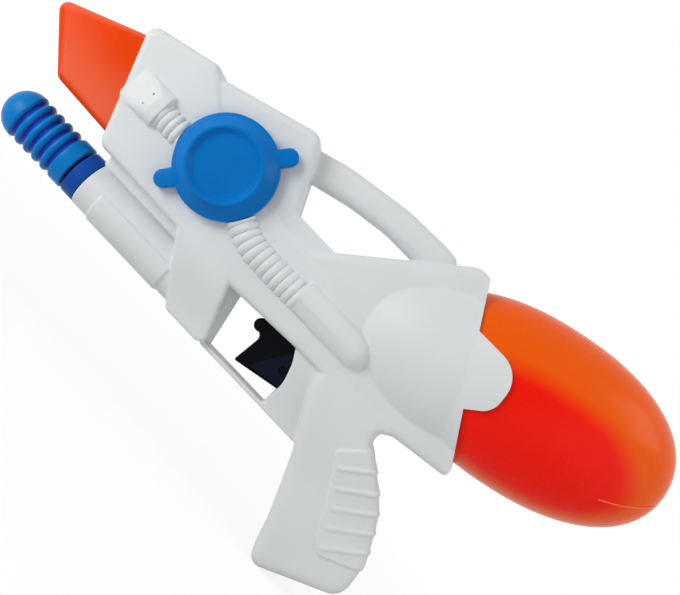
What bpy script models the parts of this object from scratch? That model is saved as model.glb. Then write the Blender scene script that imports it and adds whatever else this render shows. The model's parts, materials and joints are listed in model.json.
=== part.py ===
"""Pump-action toy water squirter: two moulded shells that hold a tank, a hand pump,
a trigger valve and a filler, with the muzzle towards -X and the grip down.
All sizes are in metres."""

import math

import bmesh
import bpy
from mathutils import Matrix, Vector

# Fits and walls
GAP = 0.0003
WALL = 0.0024
SPLIT = 0.0003
HOSE_WALL = 0.0010
BARB_RADIUS = 0.0022
BARB_LENGTH = 0.0080
HOSE_LEAD = 0.0030
BORE_RADIUS = 0.0011
CROSS_BORE_RADIUS = 0.0009

# Outlines of the body seen from the side: corners as (x, z, corner radius)
FRONT_BLOCK = [(-0.1525, 0.1043, 0.0070), (-0.0480, 0.1043, 0.0062), (-0.0435, 0.1590, 0.0062),
               (-0.0660, 0.2018, 0.0090), (-0.1300, 0.1823, 0.0030), (-0.1370, 0.1862, 0.0062),
               (-0.1828, 0.1747, 0.0070)]
LOWER_BEAM = [(-0.1000, 0.1035, 0.0055), (-0.0436, 0.1022, 0.0300), (0.0140, 0.1056, 0.0300),
              (0.0760, 0.1056, 0.0055), (0.0760, 0.1340, 0.0055), (0.0000, 0.1490, 0.0055),
              (-0.1000, 0.1490, 0.0055)]
UPPER_BEAM = [(-0.0700, 0.1300, 0.0040), (0.0200, 0.1300, 0.0040), (0.0200, 0.1598, 0.0040),
              (-0.0700, 0.1598, 0.0040)]
REAR_BLOCK = [(-0.0250, 0.1180, 0.0060), (0.0790, 0.1050, 0.0060), (0.0880, 0.1108, 0.0040),
              (0.1500, 0.1205, 0.0060), (0.1500, 0.1500, 0.0060), (0.0800, 0.2132, 0.0060),
              (0.0525, 0.2157, 0.0120), (-0.0250, 0.1492, 0.0060)]
GRIP = [(0.0830, -0.0028, 0.0075), (0.1364, 0.0226, 0.0120), (0.1330, 0.0445, 0.0300),
        (0.1150, 0.0745, 0.0600), (0.0812, 0.1005, 0.0080), (0.0840, 0.1180, 0.0080),
        (0.0280, 0.1200, 0.0080), (0.0315, 0.0990, 0.0100), (0.0560, 0.0590, 0.0800),
        (0.0745, 0.0210, 0.0800)]
GUARD = [(-0.0300, 0.0650, 0.0013), (0.0520, 0.0650, 0.0020), (0.0600, 0.0800, 0.0020),
         (0.0450, 0.1085, 0.0020), (0.0095, 0.1085, 0.0013), (0.0170, 0.0975, 0.0200),
         (0.0218, 0.0850, 0.0200), (0.0218, 0.0682, 0.0010), (-0.0300, 0.0682, 0.0013)]
LEG = [(-0.0585, 0.0652, 0.0060), (-0.0262, 0.0652, 0.0050), (-0.0415, 0.1040, 0.0060),
       (-0.0430, 0.1120, 0.0050), (-0.0920, 0.1120, 0.0060)]
HANDLE = [(-0.0620, 0.1760, 0.0068), (-0.0272, 0.1855, 0.0600), (0.0000, 0.1900, 0.0600),
          (0.0330, 0.1905, 0.0068), (0.0520, 0.2090, 0.0068), (0.0319, 0.2113, 0.0500),
          (0.0000, 0.2098, 0.0800), (-0.0430, 0.2024, 0.0800), (-0.0720, 0.1935, 0.0068)]
FRONT_BLOCK_HALF = 0.0265
LOWER_BEAM_HALF = 0.0250
UPPER_BEAM_HALF = 0.0220
REAR_BLOCK_HALF = 0.0258
GRIP_HALF = 0.0170
GRIP_HALF_AT_TOP = 0.0240
GRIP_FLARE_LOW = 0.0550
GRIP_FLARE_HIGH = 0.1050
GUARD_HALF = 0.0085
GUARD_HALF_AT_TOP = 0.0190
LEG_HALF = 0.0210
LEG_HALF_AT_FOOT = 0.0145
LEG_RIDGE_FOOT = (-0.0245, 0.0672)
LEG_RIDGE_TOP = (-0.0348, 0.1075)
LEG_RIDGE_HALF = 0.0015
LEG_RIDGE_DEPTH = 0.0160
HANDLE_HALF = 0.0100
BLOCK_RIM = 0.0050
BEAM_RIM = 0.0035
GRIP_RIM = 0.0065
GUARD_RIM = 0.0010
HANDLE_RIM = 0.0060

# Tank: a swollen round form on a tilted axis, narrower from side to side
TANK_CENTRE = (0.1355, 0.1817)
TANK_TILT = math.radians(13.3)
TANK_HALF_LENGTH = 0.0935
TANK_RADIUS = 0.0537
TANK_HALF_WIDTH = 0.0460
TANK_SWELL = 2.24
TANK_WALL = 0.0020
NECK_RADIUS = 0.0180
NECK_LENGTH = 0.0220
ROUND_SHARE = 0.04
ROUND_BLEND = 0.30
FAIRING_CENTRE = (0.0820, 0.1640)
FAIRING_TUCK = 0.0030
FAIRING_SIZE = (0.0710, TANK_HALF_WIDTH - FAIRING_TUCK, 0.0500)
SEAM_POINT = (0.0744, 0.1881)
SEAM_RISE = -1.434
SEAM_SHEAR = 0.19
SEAM_RING = 0.0070
PETAL_REACH = 0.0345
PETAL_HEIGHT = 0.0367
PETAL_ROUND = 0.0170
PETAL_TIP = (0.0040, 0.0261, 0.0120)
SEAM_CUT_RISE = 0.0750
SEAM_CUT_DROP = 0.0850

# Bung in the tank's neck
BUNG_PLUG = 0.0080
BUNG_FLANGE = 0.0026
SPIGOT_RADIUS = 0.0072
SPIGOT_WALL = 0.0014
SPIGOT_LENGTH = 0.0120
SPIGOT_OFFSET = 0.0040
BUNG_BARB_OFFSET = -0.0100
SEAL_THICK = 0.0011
PICKUP_LEAD = 0.0120
PICKUP_SHARES = [(-0.770, -0.280), (-0.588, -0.466), (-0.406, -0.689), (-0.300, -0.838)]

# Filler and its cap
CAP_X = -0.0902
CAP_Z = 0.1482
CAP_RADIUS = 0.0311
CAP_RIDGE_RADIUS = 0.0228
CAP_DISC_RADIUS = 0.0185
CAP_RIM_HEIGHT = 0.0024
CAP_DISC_HEIGHT = 0.0105
CAP_RIDGE_HEIGHT = 0.0135
CAP_WALL = 0.0020
CAP_EDGE = 0.0014
CAP_EDGE_DROP = 0.0006
CAP_CLEARANCE = 0.0008
LUG_ANGLES = (math.radians(55.0), math.radians(239.0))
LUG_REACH = 0.0396
LUG_HALF = 0.0054
LUG_HEIGHT = 0.0058
LUG_ROUND = 0.0032
MOUTH_RADIUS = 0.0170
MOUTH_WALL = 0.0020
MOUTH_RISE = 0.0062
CUP_RADIUS = 0.0200
CUP_BACK = 0.0160
CUP_SPIGOT_Z = 0.1410

# Hand pump
PUMP_Z = 0.0830
PUMP_CYLINDER_RADIUS = 0.0129
PUMP_CYLINDER_WALL = 0.0015
PUMP_FRONT = 0.1440
PUMP_REAR = 0.0620
PUMP_COLLAR_LENGTH = 0.0096
PUMP_COLLAR_SPIGOT = 0.0058
PUMP_COLLAR_RADIUS = 0.0154
PUMP_ROD_RADIUS = 0.0030
PUMP_PISTON_LENGTH = 0.0080
PUMP_PISTON_CLEAR = 0.0015
PISTON_SOCKET = 0.0024
RING_BACK = 0.0032
PUMP_PLUG = 0.0045
PUMP_FLANGE = 0.0030
PISTON_RING_DEPTH = 0.0019
PISTON_RING_WIDTH = 0.0016
PUMP_GRIP_GAP = 0.0017
PUMP_GRIP_RADIUS = 0.0156
PUMP_GRIP_END = 0.0117
PUMP_RIB_PITCH = 0.0071
PUMP_RIB_COUNT = 4
PUMP_RIB_DEPTH = 0.0014
PUMP_RIB_SHARES = [(0.35, 0.2), (0.6, 0.0), (0.9, 0.0)]
PUMP_DOME_EDGE = 0.0007
PUMP_DOME_STEPS = 6
PUMP_DOME = 0.0187
PUMP_GRIP_WALL = 0.0020
CHECK_DISC_RADIUS = 0.0065
CHECK_DISC_THICK = 0.0016
ELBOW_REACH = 0.0090
ELBOW_RISE = 0.0140
ELBOW_RADIUS = 0.0050

# Trigger and its valve
PIVOT_X = 0.0060
PIVOT_Z = 0.1120
PIN_RADIUS = 0.0020
PIN_CLEARANCE = 0.0002
PIN_BOSS_RADIUS = 0.0050
TRIGGER_HALF = 0.0050
TRIGGER_SIDE_CLEARANCE = 0.0006
TRIGGER = [(-0.0088, 0.0728, 0.0015), (0.0230, 0.0795, 0.0030), (0.0285, 0.0900, 0.0060),
           (0.0220, 0.1030, 0.0060), (0.0112, 0.1095, 0.0030), (0.0092, 0.1190, 0.0015),
           (0.0028, 0.1190, 0.0015), (0.0008, 0.1095, 0.0030), (-0.0040, 0.1036, 0.0020),
           (-0.0145, 0.1034, 0.0015), (-0.0145, 0.0955, 0.0015), (-0.0072, 0.0945, 0.0040)]
TRIGGER_RIM = 0.0012
NOSE_X = -0.0124
NOSE_Z = 0.0986
NOSE_RADIUS = 0.0042
TRIGGER_ARM = 0.0090
KNOB_RADIUS = 0.0030
TRIGGER_SLOT = (-0.0048, 0.0300)
TRIGGER_POCKET = (0.0080, 0.0460, 0.0715)
VALVE_FRONT = 0.0450
VALVE_REAR = 0.0140
VALVE_RADIUS = 0.0070
VALVE_BORE = 0.0052
VALVE_END_WALL = 0.0040
PLUNGER_LENGTH = 0.0100
PLUNGER_RING_BACK = 0.0040
PLUNGER_STEM_RADIUS = 0.0026
VALVE_SIDE_Y = 0.0105
VALVE_SIDE_RADIUS = 0.0036
SPRING_TURNS = 5
SPRING_WIRE = 0.0004
SPRING_TURN_STEPS = 9
SADDLE_X = -0.0365
SADDLE_THICK = 0.0030

# Muzzle
SHROUD = [(-0.1993, 0.1130, 0.0060), (-0.1553, 0.1113, 0.0), (-0.1789, 0.1690, 0.0),
          (-0.2325, 0.1462, 0.0055)]
SHROUD_HALF = 0.0190
SHROUD_RIM = 0.0045
SHROUD_WALL = 0.0022
SHROUD_SEAT = 0.0060
LIP_RISE = 0.0018
LIP_THICK = 0.0030
JET_Z = 0.1370
JET_RADIUS = 0.0040
JET_BOSS_RADIUS = 0.0070
JET_BOSS_FRONT = 0.1700
JET_BOSS_REAR = 0.1520
JET_FLANGE_RADIUS = 0.0065
JET_FLANGE = 0.0027
JET_TIP = 0.0060

# Moulded hose forms on the sides
RELIEF_RADIUS = 0.0090
RELIEF_RIB_DEPTH = 0.0012
REAR_RELIEF = [(-0.0700, 0.1345), (-0.0580, 0.1305), (-0.0480, 0.1275), (-0.0380, 0.1268),
               (-0.0090, 0.1268)]
REAR_RELIEF_RIBS = 12
REAR_SLEEVE = (-0.0090, 0.0478, 0.1290, 0.0113)
FRONT_RELIEF = (-0.1364, -0.1160, 0.1425)
FRONT_RELIEF_RIBS = 4
FRONT_SLEEVE = (-0.1630, -0.1364, 0.1435, 0.0118)
BLANK_DISC_HEIGHT = 0.0030
SLEEVE_EDGE = 0.0006
FRONT_RIB_GROW = 0.0006
REAR_NOSE = [(1.00, 1.00), (0.50, 0.86), (0.15, 0.50), (0.00, 0.04)]
FRONT_NOSE = [(0.00, 0.55), (1.00, 0.90)]
FRONT_SLEEVE_SUNK = 0.62

# Screws: (x, z) of each, and the half width of the body there
GRIP_SCREW_Z = 0.0830
GRIP_FLARE_SHARE = (GRIP_SCREW_Z - GRIP_FLARE_LOW) / (GRIP_FLARE_HIGH - GRIP_FLARE_LOW)
GRIP_HALF_AT_SCREW = GRIP_HALF + (GRIP_HALF_AT_TOP - GRIP_HALF) * GRIP_FLARE_SHARE
SCREWS = [(-0.1500, 0.1730, FRONT_BLOCK_HALF), (-0.0760, 0.1880, FRONT_BLOCK_HALF),
          (-0.1300, 0.1125, FRONT_BLOCK_HALF), (-0.0372, 0.0770, LEG_HALF_AT_FOOT + WALL / 2.0),
          (0.0440, 0.2000, REAR_BLOCK_HALF), (0.0660, GRIP_SCREW_Z, GRIP_HALF_AT_SCREW),
          (0.1030, 0.0320, GRIP_HALF), (0.0680, 0.1180, REAR_BLOCK_HALF)]
SCREW_RADIUS = 0.0013
SCREW_HEAD_RADIUS = 0.0028
SCREW_HEAD = 0.0020
SCREW_SEAT = 0.0080
SCREW_TIP = 0.0080
BOSS_RADIUS = 0.0046

# Bends of the hoses inside, in the order they run
FILLER_BENDS = [(-0.0340, 0.1422), (-0.0120, 0.1465)]
AIR_BENDS = [(-0.0580, 0.1085), (-0.0680, 0.1125), (-0.0800, 0.1125)]
AIR_END_SHIFT = 0.0015
FEED_BENDS = [(0.0040, 0.0040, 0.1365), (0.0000, 0.0090, 0.1290), (-0.0030, 0.0105, 0.1235)]
JET_BENDS = [(-0.0690, 0.0070, 0.1190), (-0.0830, 0.0120, 0.1170), (-0.0980, 0.0125, 0.1175),
             (-0.1160, 0.0080, 0.1245), (-0.1310, 0.0020, 0.1340)]

# Finishes: base colour, roughness, metallic
FINISHES = {"white_plastic": ((0.66, 0.70, 0.71), 0.40, 0.0),
            "orange_plastic": ((0.82, 0.09, 0.01), 0.30, 0.0),
            "blue_plastic": ((0.01, 0.16, 0.50), 0.30, 0.0),
            "black_plastic": ((0.004, 0.004, 0.006), 0.25, 0.0),
            "natural_plastic": ((0.62, 0.62, 0.58), 0.45, 0.0),
            "soft_hose": ((0.55, 0.57, 0.55), 0.35, 0.0),
            "black_rubber": ((0.012, 0.012, 0.012), 0.70, 0.0),
            "steel": ((0.55, 0.55, 0.57), 0.30, 1.0)}

# Fineness
ARC_STEP = math.radians(30.0)
TANK_STEPS = 14
LARGE_STEPS = 24
MEDIUM_STEPS = 16
SMALL_STEPS = 10
ROUTE_STEPS = 2
FAR = 0.5

ALONG_X = Vector((1.0, 0.0, 0.0))
TO_MUZZLE = Vector((-1.0, 0.0, 0.0))
TO_LEFT = Vector((0.0, -1.0, 0.0))
TO_RIGHT = Vector((0.0, 1.0, 0.0))
UP = Vector((0.0, 0.0, 1.0))
ALONG_LOCAL_Z = Vector((0.0, 1.0, 0.0))


# Scene and collections
for old in list(bpy.data.objects):
    bpy.data.objects.remove(old, do_unlink=True)
PARTS = bpy.data.collections.new("water_squirter")
CUTTERS = bpy.data.collections.new("cutters")
for group in (PARTS, CUTTERS):
    bpy.context.scene.collection.children.link(group)


def finish_material(name):
    """One Principled material for a finish."""
    if name in bpy.data.materials:
        return bpy.data.materials[name]
    colour, roughness, metallic = FINISHES[name]
    material = bpy.data.materials.new(name)
    material.use_nodes = True
    shader = material.node_tree.nodes["Principled BSDF"]
    shader.inputs["Base Color"].default_value = (*colour, 1.0)
    shader.inputs["Roughness"].default_value = roughness
    shader.inputs["Metallic"].default_value = metallic
    material.diffuse_color = (*colour, 1.0)
    return material


def helper(name, data):
    """A construction object, kept out of the part."""
    obj = bpy.data.objects.new(name, data)
    CUTTERS.objects.link(obj)
    obj.hide_render = True
    obj.display_type = "WIRE"
    return obj


def evaluated_mesh(obj):
    """The object's mesh with its modifiers applied and loose caps welded."""
    bpy.context.view_layer.update()
    graph = bpy.context.evaluated_depsgraph_get()
    mesh = bpy.data.meshes.new_from_object(obj.evaluated_get(graph))
    work = bmesh.new()
    work.from_mesh(mesh)
    bmesh.ops.remove_doubles(work, verts=work.verts, dist=1e-6)
    work.to_mesh(mesh)
    work.free()
    return mesh


def baked(obj):
    """A helper with the object's evaluated mesh, in place of the object."""
    mesh = evaluated_mesh(obj)
    name, place = obj.name, obj.matrix_world.copy()
    bpy.data.objects.remove(obj, do_unlink=True)
    fresh = helper(name, mesh)
    fresh.matrix_world = place
    return fresh


def part(name, source, finish, origin=(0.0, 0.0, 0.0)):
    """Makes a helper's shape a named piece with its origin where it turns or slides."""
    mesh = evaluated_mesh(source)
    mesh.transform(Matrix.Translation(-Vector(origin)) @ source.matrix_world)
    mesh.materials.clear()
    mesh.materials.append(finish_material(finish))
    mesh.name = name
    mesh.shade_smooth()
    mesh.set_sharp_from_angle(angle=math.radians(35.0))
    obj = bpy.data.objects.new(name, mesh)
    obj.location = origin
    PARTS.objects.link(obj)
    return obj


def boolean(target, other, operation):
    """Adds one Boolean step to a shape."""
    step = target.modifiers.new(operation.lower(), "BOOLEAN")
    step.operation = operation
    step.solver = "EXACT"
    step.object = other


def combine(name, first, others, operation="UNION"):
    """Runs Boolean steps in turn, with each result baked before the next."""
    result = first
    for other in others:
        boolean(result, other, operation)
        result = baked(result)
    result.name = name
    return result


def rounded(corners, inset=0.0):
    """Points of a closed outline, counter-clockwise, with round corners, set in by a wall."""
    points = []
    count = len(corners)
    for index, (x, z, radius) in enumerate(corners):
        here = Vector((x, z))
        before = here - Vector(corners[index - 1][:2])
        after = Vector(corners[(index + 1) % count][:2]) - here
        before.normalize()
        after.normalize()
        normal_in = Vector((-before.y, before.x))
        normal_out = Vector((-after.y, after.x))
        corner = here + (normal_in + normal_out) * inset / (1.0 + normal_in.dot(normal_out))
        side = 1.0 if before.x * after.y - before.y * after.x > 0.0 else -1.0
        bend = math.acos(max(-1.0, min(1.0, before.dot(after))))
        turn = radius - side * inset
        if turn <= GAP or radius == 0.0:
            points.append(corner)
            continue
        start = corner - before * turn * math.tan(bend / 2.0)
        centre = start + normal_in * turn * side
        steps = max(1, math.ceil(bend / ARC_STEP))
        for step in range(steps + 1):
            swing = side * bend * step / steps
            spoke = start - centre
            points.append(centre + Matrix.Rotation(swing, 2) @ spoke)
    return points


def slab(name, points, half, rim=0.0, middle=0.0, rim_steps=2):
    """A flat outline in the side view, thickened both ways across the body, with round rims."""
    curve = bpy.data.curves.new(name, "CURVE")
    curve.dimensions = "2D"
    curve.fill_mode = "BOTH"
    curve.extrude = half
    line = curve.splines.new("POLY")
    line.points.add(len(points) - 1)
    for spot, point in zip(line.points, points):
        spot.co = (point.x, point.y, 0.0, 1.0)
    line.use_cyclic_u = True
    flat = helper(name, curve)
    flat.matrix_world = Matrix.Translation((0.0, middle, 0.0)) @ Matrix.Rotation(math.pi / 2, 4, "X")
    solid = baked(flat)
    work = bmesh.new()
    work.from_mesh(solid.data)
    bmesh.ops.dissolve_limit(work, angle_limit=0.005, verts=work.verts, edges=work.edges)
    work.to_mesh(solid.data)
    work.free()
    if rim > 0.0:
        bevel = solid.modifiers.new("rim", "BEVEL")
        bevel.width = rim
        bevel.segments = rim_steps
        bevel.limit_method = "ANGLE"
        bevel.angle_limit = math.radians(60.0)
        bevel.use_clamp_overlap = False
        solid = baked(solid)
    return solid


def turned(name, profile, axis, origin, steps, closed=False):
    """A profile of (radius, distance along the axis) turned about the axis.
    It runs down its outer side, from the far end of the axis to the near one."""
    mesh = bpy.data.meshes.new(name)
    points = [(radius, 0.0, height) for radius, height in profile]
    edges = [(index, index + 1) for index in range(len(points) - 1)]
    if closed:
        edges.append((len(points) - 1, 0))
    mesh.from_pydata(points, edges, [])
    shape = helper(name, mesh)
    screw = shape.modifiers.new("turn", "SCREW")
    screw.axis = "Z"
    screw.steps = steps
    screw.render_steps = steps
    screw.use_merge_vertices = True
    screw.merge_threshold = 1e-6
    screw.use_normal_calculate = False
    turn = UP.rotation_difference(axis).to_matrix().to_4x4()
    shape.matrix_world = Matrix.Translation(origin) @ turn
    return baked(shape)


def rod(name, radius, low, high, axis, origin, steps):
    """A plain round bar between two distances along an axis."""
    return turned(name, [(0.0, high), (radius, high), (radius, low), (0.0, low)], axis, origin, steps)


def ring(name, outer, inner, low, high, axis, origin, steps):
    """A plain round tube between two distances along an axis."""
    profile = [(inner, high), (outer, high), (outer, low), (inner, low)]
    return turned(name, profile, axis, origin, steps, closed=True)


def block(name, low, high):
    """A box between two corners."""
    mesh = bpy.data.meshes.new(name)
    work = bmesh.new()
    bmesh.ops.create_cube(work, size=1.0)
    size = Vector(high) - Vector(low)
    middle = (Vector(high) + Vector(low)) / 2.0
    work.transform(Matrix.Translation(middle) @ Matrix.Diagonal((*size, 1.0)))
    work.to_mesh(mesh)
    work.free()
    return helper(name, mesh)


def wedge(name, points):
    """The solid that the points span."""
    mesh = bpy.data.meshes.new(name)
    work = bmesh.new()
    corners = [work.verts.new(point) for point in points]
    bmesh.ops.convex_hull(work, input=corners)
    work.to_mesh(mesh)
    work.free()
    return helper(name, mesh)


def ball(name, size, centre, tilt=0.0, sides=20, rings=12):
    """A sphere stretched to half sizes along X, Y and Z and tilted about Y."""
    mesh = bpy.data.meshes.new(name)
    work = bmesh.new()
    bmesh.ops.create_uvsphere(work, u_segments=sides, v_segments=rings, radius=1.0)
    turn = Matrix.Rotation(-tilt, 4, "Y")
    work.transform(Matrix.Translation(centre) @ turn @ Matrix.Diagonal((*size, 1.0)))
    work.to_mesh(mesh)
    work.free()
    return helper(name, mesh)


def smooth_route(points, steps):
    """A smooth curve through the points, with straight end spans."""
    spots = [Vector(point) for point in points]
    route = [spots[0]]
    for a, b, c, d in zip(spots, spots[1:], spots[2:], spots[3:]):
        for step in range(steps):
            t = step / steps
            route.append(0.5 * (2.0 * b + (c - a) * t + (2.0 * a - 5.0 * b + 4.0 * c - d) * t * t
                                + (3.0 * b - a - 3.0 * c + d) * t * t * t))
    return route + spots[-2:]


def evenly(route, count):
    """Points at even steps along a route."""
    lengths = [0.0]
    for a, b in zip(route, route[1:]):
        lengths.append(lengths[-1] + (b - a).length)
    points = [route[0]]
    for step in range(1, count):
        want = lengths[-1] * step / count
        index = next(i for i, length in enumerate(lengths) if length >= want)
        share = (want - lengths[index - 1]) / (lengths[index] - lengths[index - 1])
        points.append(route[index - 1].lerp(route[index], share))
    return points + [route[-1]]


def tube(name, route, radii, resolution=2, caps=True):
    """A round tube along a route, with a radius for each of its points."""
    curve = bpy.data.curves.new(name, "CURVE")
    curve.dimensions = "3D"
    curve.bevel_depth = 1.0
    curve.bevel_resolution = resolution
    curve.use_fill_caps = caps
    line = curve.splines.new("POLY")
    line.points.add(len(route) - 1)
    for spot, point, radius in zip(line.points, route, radii):
        spot.co = (*point, 1.0)
        spot.radius = radius
    return baked(helper(name, curve))


def hose(name, points, barb, resolution=2):
    """A soft hose pushed over a barb at each end."""
    facet = math.cos(math.pi / (4 + 2 * resolution))
    bore = (barb + GAP) / facet
    route = smooth_route(points, ROUTE_STEPS)
    skin = tube(name, route, [bore + HOSE_WALL] * len(route), resolution, caps=False)
    wall = skin.modifiers.new("wall", "SOLIDIFY")
    wall.thickness = HOSE_WALL
    wall.offset = -1.0
    return baked(skin)


def tank_axis_point(along, offset=0.0):
    """A point on the tank's tilted axis, or beside it in the middle plane."""
    return Vector((TANK_CENTRE[0] + along * math.cos(TANK_TILT) - offset * math.sin(TANK_TILT), 0.0,
                   TANK_CENTRE[1] + along * math.sin(TANK_TILT) + offset * math.cos(TANK_TILT)))


def swollen_profile(grow, count, neck=0.0):
    """Outer side of the tank from its rear end to its front, grown by a clearance or wall."""
    length = TANK_HALF_LENGTH + grow
    radius = TANK_RADIUS + grow
    points = []
    for step in range(count + 1):
        angle = math.pi * step / count
        power = 2.0 / TANK_SWELL
        along = length * math.copysign(abs(math.cos(angle)) ** power, math.cos(angle))
        out = radius * math.sin(angle) ** power if 0 < step < count else 0.0
        if neck == 0.0 or along > 0.0 or out > neck:
            points.append((out, along))
    if neck > 0.0:
        share = 1.0 - (neck / radius) ** TANK_SWELL
        points.append((neck, -length * share ** (1.0 / TANK_SWELL)))
    return points


def flattened(shape, grow):
    """Narrows a turned tank form from side to side, but not its round neck."""
    squash = (TANK_HALF_WIDTH + grow) / (TANK_RADIUS + grow)
    for vertex in shape.data.vertices:
        along = vertex.co.z
        blend = (along + TANK_HALF_LENGTH * (1.0 - ROUND_SHARE)) / (TANK_HALF_LENGTH * ROUND_BLEND)
        blend = max(0.0, min(1.0, blend))
        vertex.co.y *= 1.0 + (squash - 1.0) * blend * blend * (3.0 - 2.0 * blend)
    return shape


TANK_AXIS = Vector((math.cos(TANK_TILT), 0.0, math.sin(TANK_TILT)))
TANK_ORIGIN = tank_axis_point(0.0)
NECK_END = -TANK_HALF_LENGTH - NECK_LENGTH
PUMP_ORIGIN = Vector((0.0, 0.0, PUMP_Z))
CAP_ORIGIN = Vector((CAP_X, 0.0, CAP_Z))
VALVE_Z = PIVOT_Z + TRIGGER_ARM
VALVE_ORIGIN = Vector((0.0, 0.0, VALVE_Z))
JET_ORIGIN = Vector((0.0, 0.0, JET_Z))
HOUSING_RADIUS = PUMP_CYLINDER_RADIUS + GAP + WALL
PUMP_BORE = PUMP_CYLINDER_RADIUS - PUMP_CYLINDER_WALL


# Body shells
def seam_cutter(name, side, shift):
    """What lies behind the edge of a shell, round the tongue that laps over the tank."""
    x, z = SEAM_POINT
    x += shift
    top = z + SEAM_CUT_RISE
    base = z - SEAM_CUT_DROP
    back = x + FAR
    tip_out, tip_drop, tip_round = PETAL_TIP
    outline = [(x - SEAM_CUT_DROP / SEAM_RISE, base, 0.0), (back, base, 0.0), (back, top, 0.0),
               (x + SEAM_CUT_RISE / SEAM_RISE, top, 0.0), (x, z, 0.0),
               (x + PETAL_REACH, z - GAP, PETAL_ROUND),
               (x + PETAL_REACH + tip_out, z - tip_drop, tip_round),
               (x - PETAL_HEIGHT / SEAM_RISE, z - PETAL_HEIGHT, 0.0)]
    reach = TANK_HALF_WIDTH
    cutter = slab(name, rounded(outline), reach, middle=side * (reach - GAP))
    for vertex in cutter.data.vertices:
        across = abs((cutter.matrix_world @ vertex.co).y)
        vertex.co.x += SEAM_SHEAR * (TANK_HALF_WIDTH - across)
    return cutter


def tapered(shape, low, high, share):
    """Draws a shape in across the body towards its lower end."""
    work = bmesh.new()
    work.from_mesh(shape.data)
    for level in (low, (low + high) / 2.0, high):
        geometry = work.verts[:] + work.edges[:] + work.faces[:]
        spot = shape.matrix_world.inverted() @ Vector((0.0, 0.0, level))
        bmesh.ops.bisect_plane(work, geom=geometry, dist=GAP / 10.0, plane_co=spot, plane_no=ALONG_LOCAL_Z)
    for vertex in work.verts:
        height = (shape.matrix_world @ vertex.co).z
        up = max(0.0, min(1.0, (height - low) / (high - low)))
        vertex.co.z *= share + (1.0 - share) * up
    bmesh.ops.triangulate(work, faces=work.faces[:])
    work.to_mesh(shape.data)
    work.free()
    return shape


def cleared(form, side):
    """Cuts the room that the cap needs to turn out of a form on the cap's side."""
    if side > 0:
        return form
    room = rod("cap_room", CAP_RADIUS + CAP_CLEARANCE, FRONT_BLOCK_HALF - WALL / 2.0, FAR, TO_LEFT,
               CAP_ORIGIN, LARGE_STEPS)
    return combine(form.name, form, [room], "DIFFERENCE")


def relief_forms(side):
    """The moulded hoses and sleeves on one side of the body."""
    surface = side * LOWER_BEAM_HALF
    route = smooth_route([(x, surface, z) for x, z in REAR_RELIEF], ROUTE_STEPS)
    count = 2 * REAR_RELIEF_RIBS
    radii = [RELIEF_RADIUS - RELIEF_RIB_DEPTH * (step % 2) for step in range(count + 1)]
    forms = [cleared(tube(f"rear_relief_{side}", evenly(route, count), radii), side)]
    start, end, z, radius = REAR_SLEEVE
    sleeve = [(start, radius - SLEEVE_EDGE), (start + SLEEVE_EDGE, radius)]
    sleeve += [(end - radius * back, radius * share) for back, share in REAR_NOSE]
    route = [Vector((x, surface, z)) for x, _ in sleeve]
    forms.append(tube(f"rear_sleeve_{side}", route, [r for _, r in sleeve]))
    surface = side * FRONT_BLOCK_HALF
    start, end, z = FRONT_RELIEF
    count = 2 * FRONT_RELIEF_RIBS
    route = [Vector((start + (end - start) * step / count, surface, z)) for step in range(count + 1)]
    crest = RELIEF_RADIUS + FRONT_RIB_GROW
    radii = [crest - RELIEF_RIB_DEPTH * (step % 2) for step in range(count + 1)]
    forms.append(cleared(tube(f"front_relief_{side}", route, radii), side))
    start, end, z, radius = FRONT_SLEEVE
    low = side * (FRONT_BLOCK_HALF - radius * FRONT_SLEEVE_SUNK)
    sleeve = [(start + radius * along, radius * share) for along, share in FRONT_NOSE]
    sleeve.append((end - GAP, radius))
    forms.append(tube(f"front_sleeve_{side}", [Vector((x, low, z)) for x, _ in sleeve],
                      [r for _, r in sleeve]))
    return forms


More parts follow.
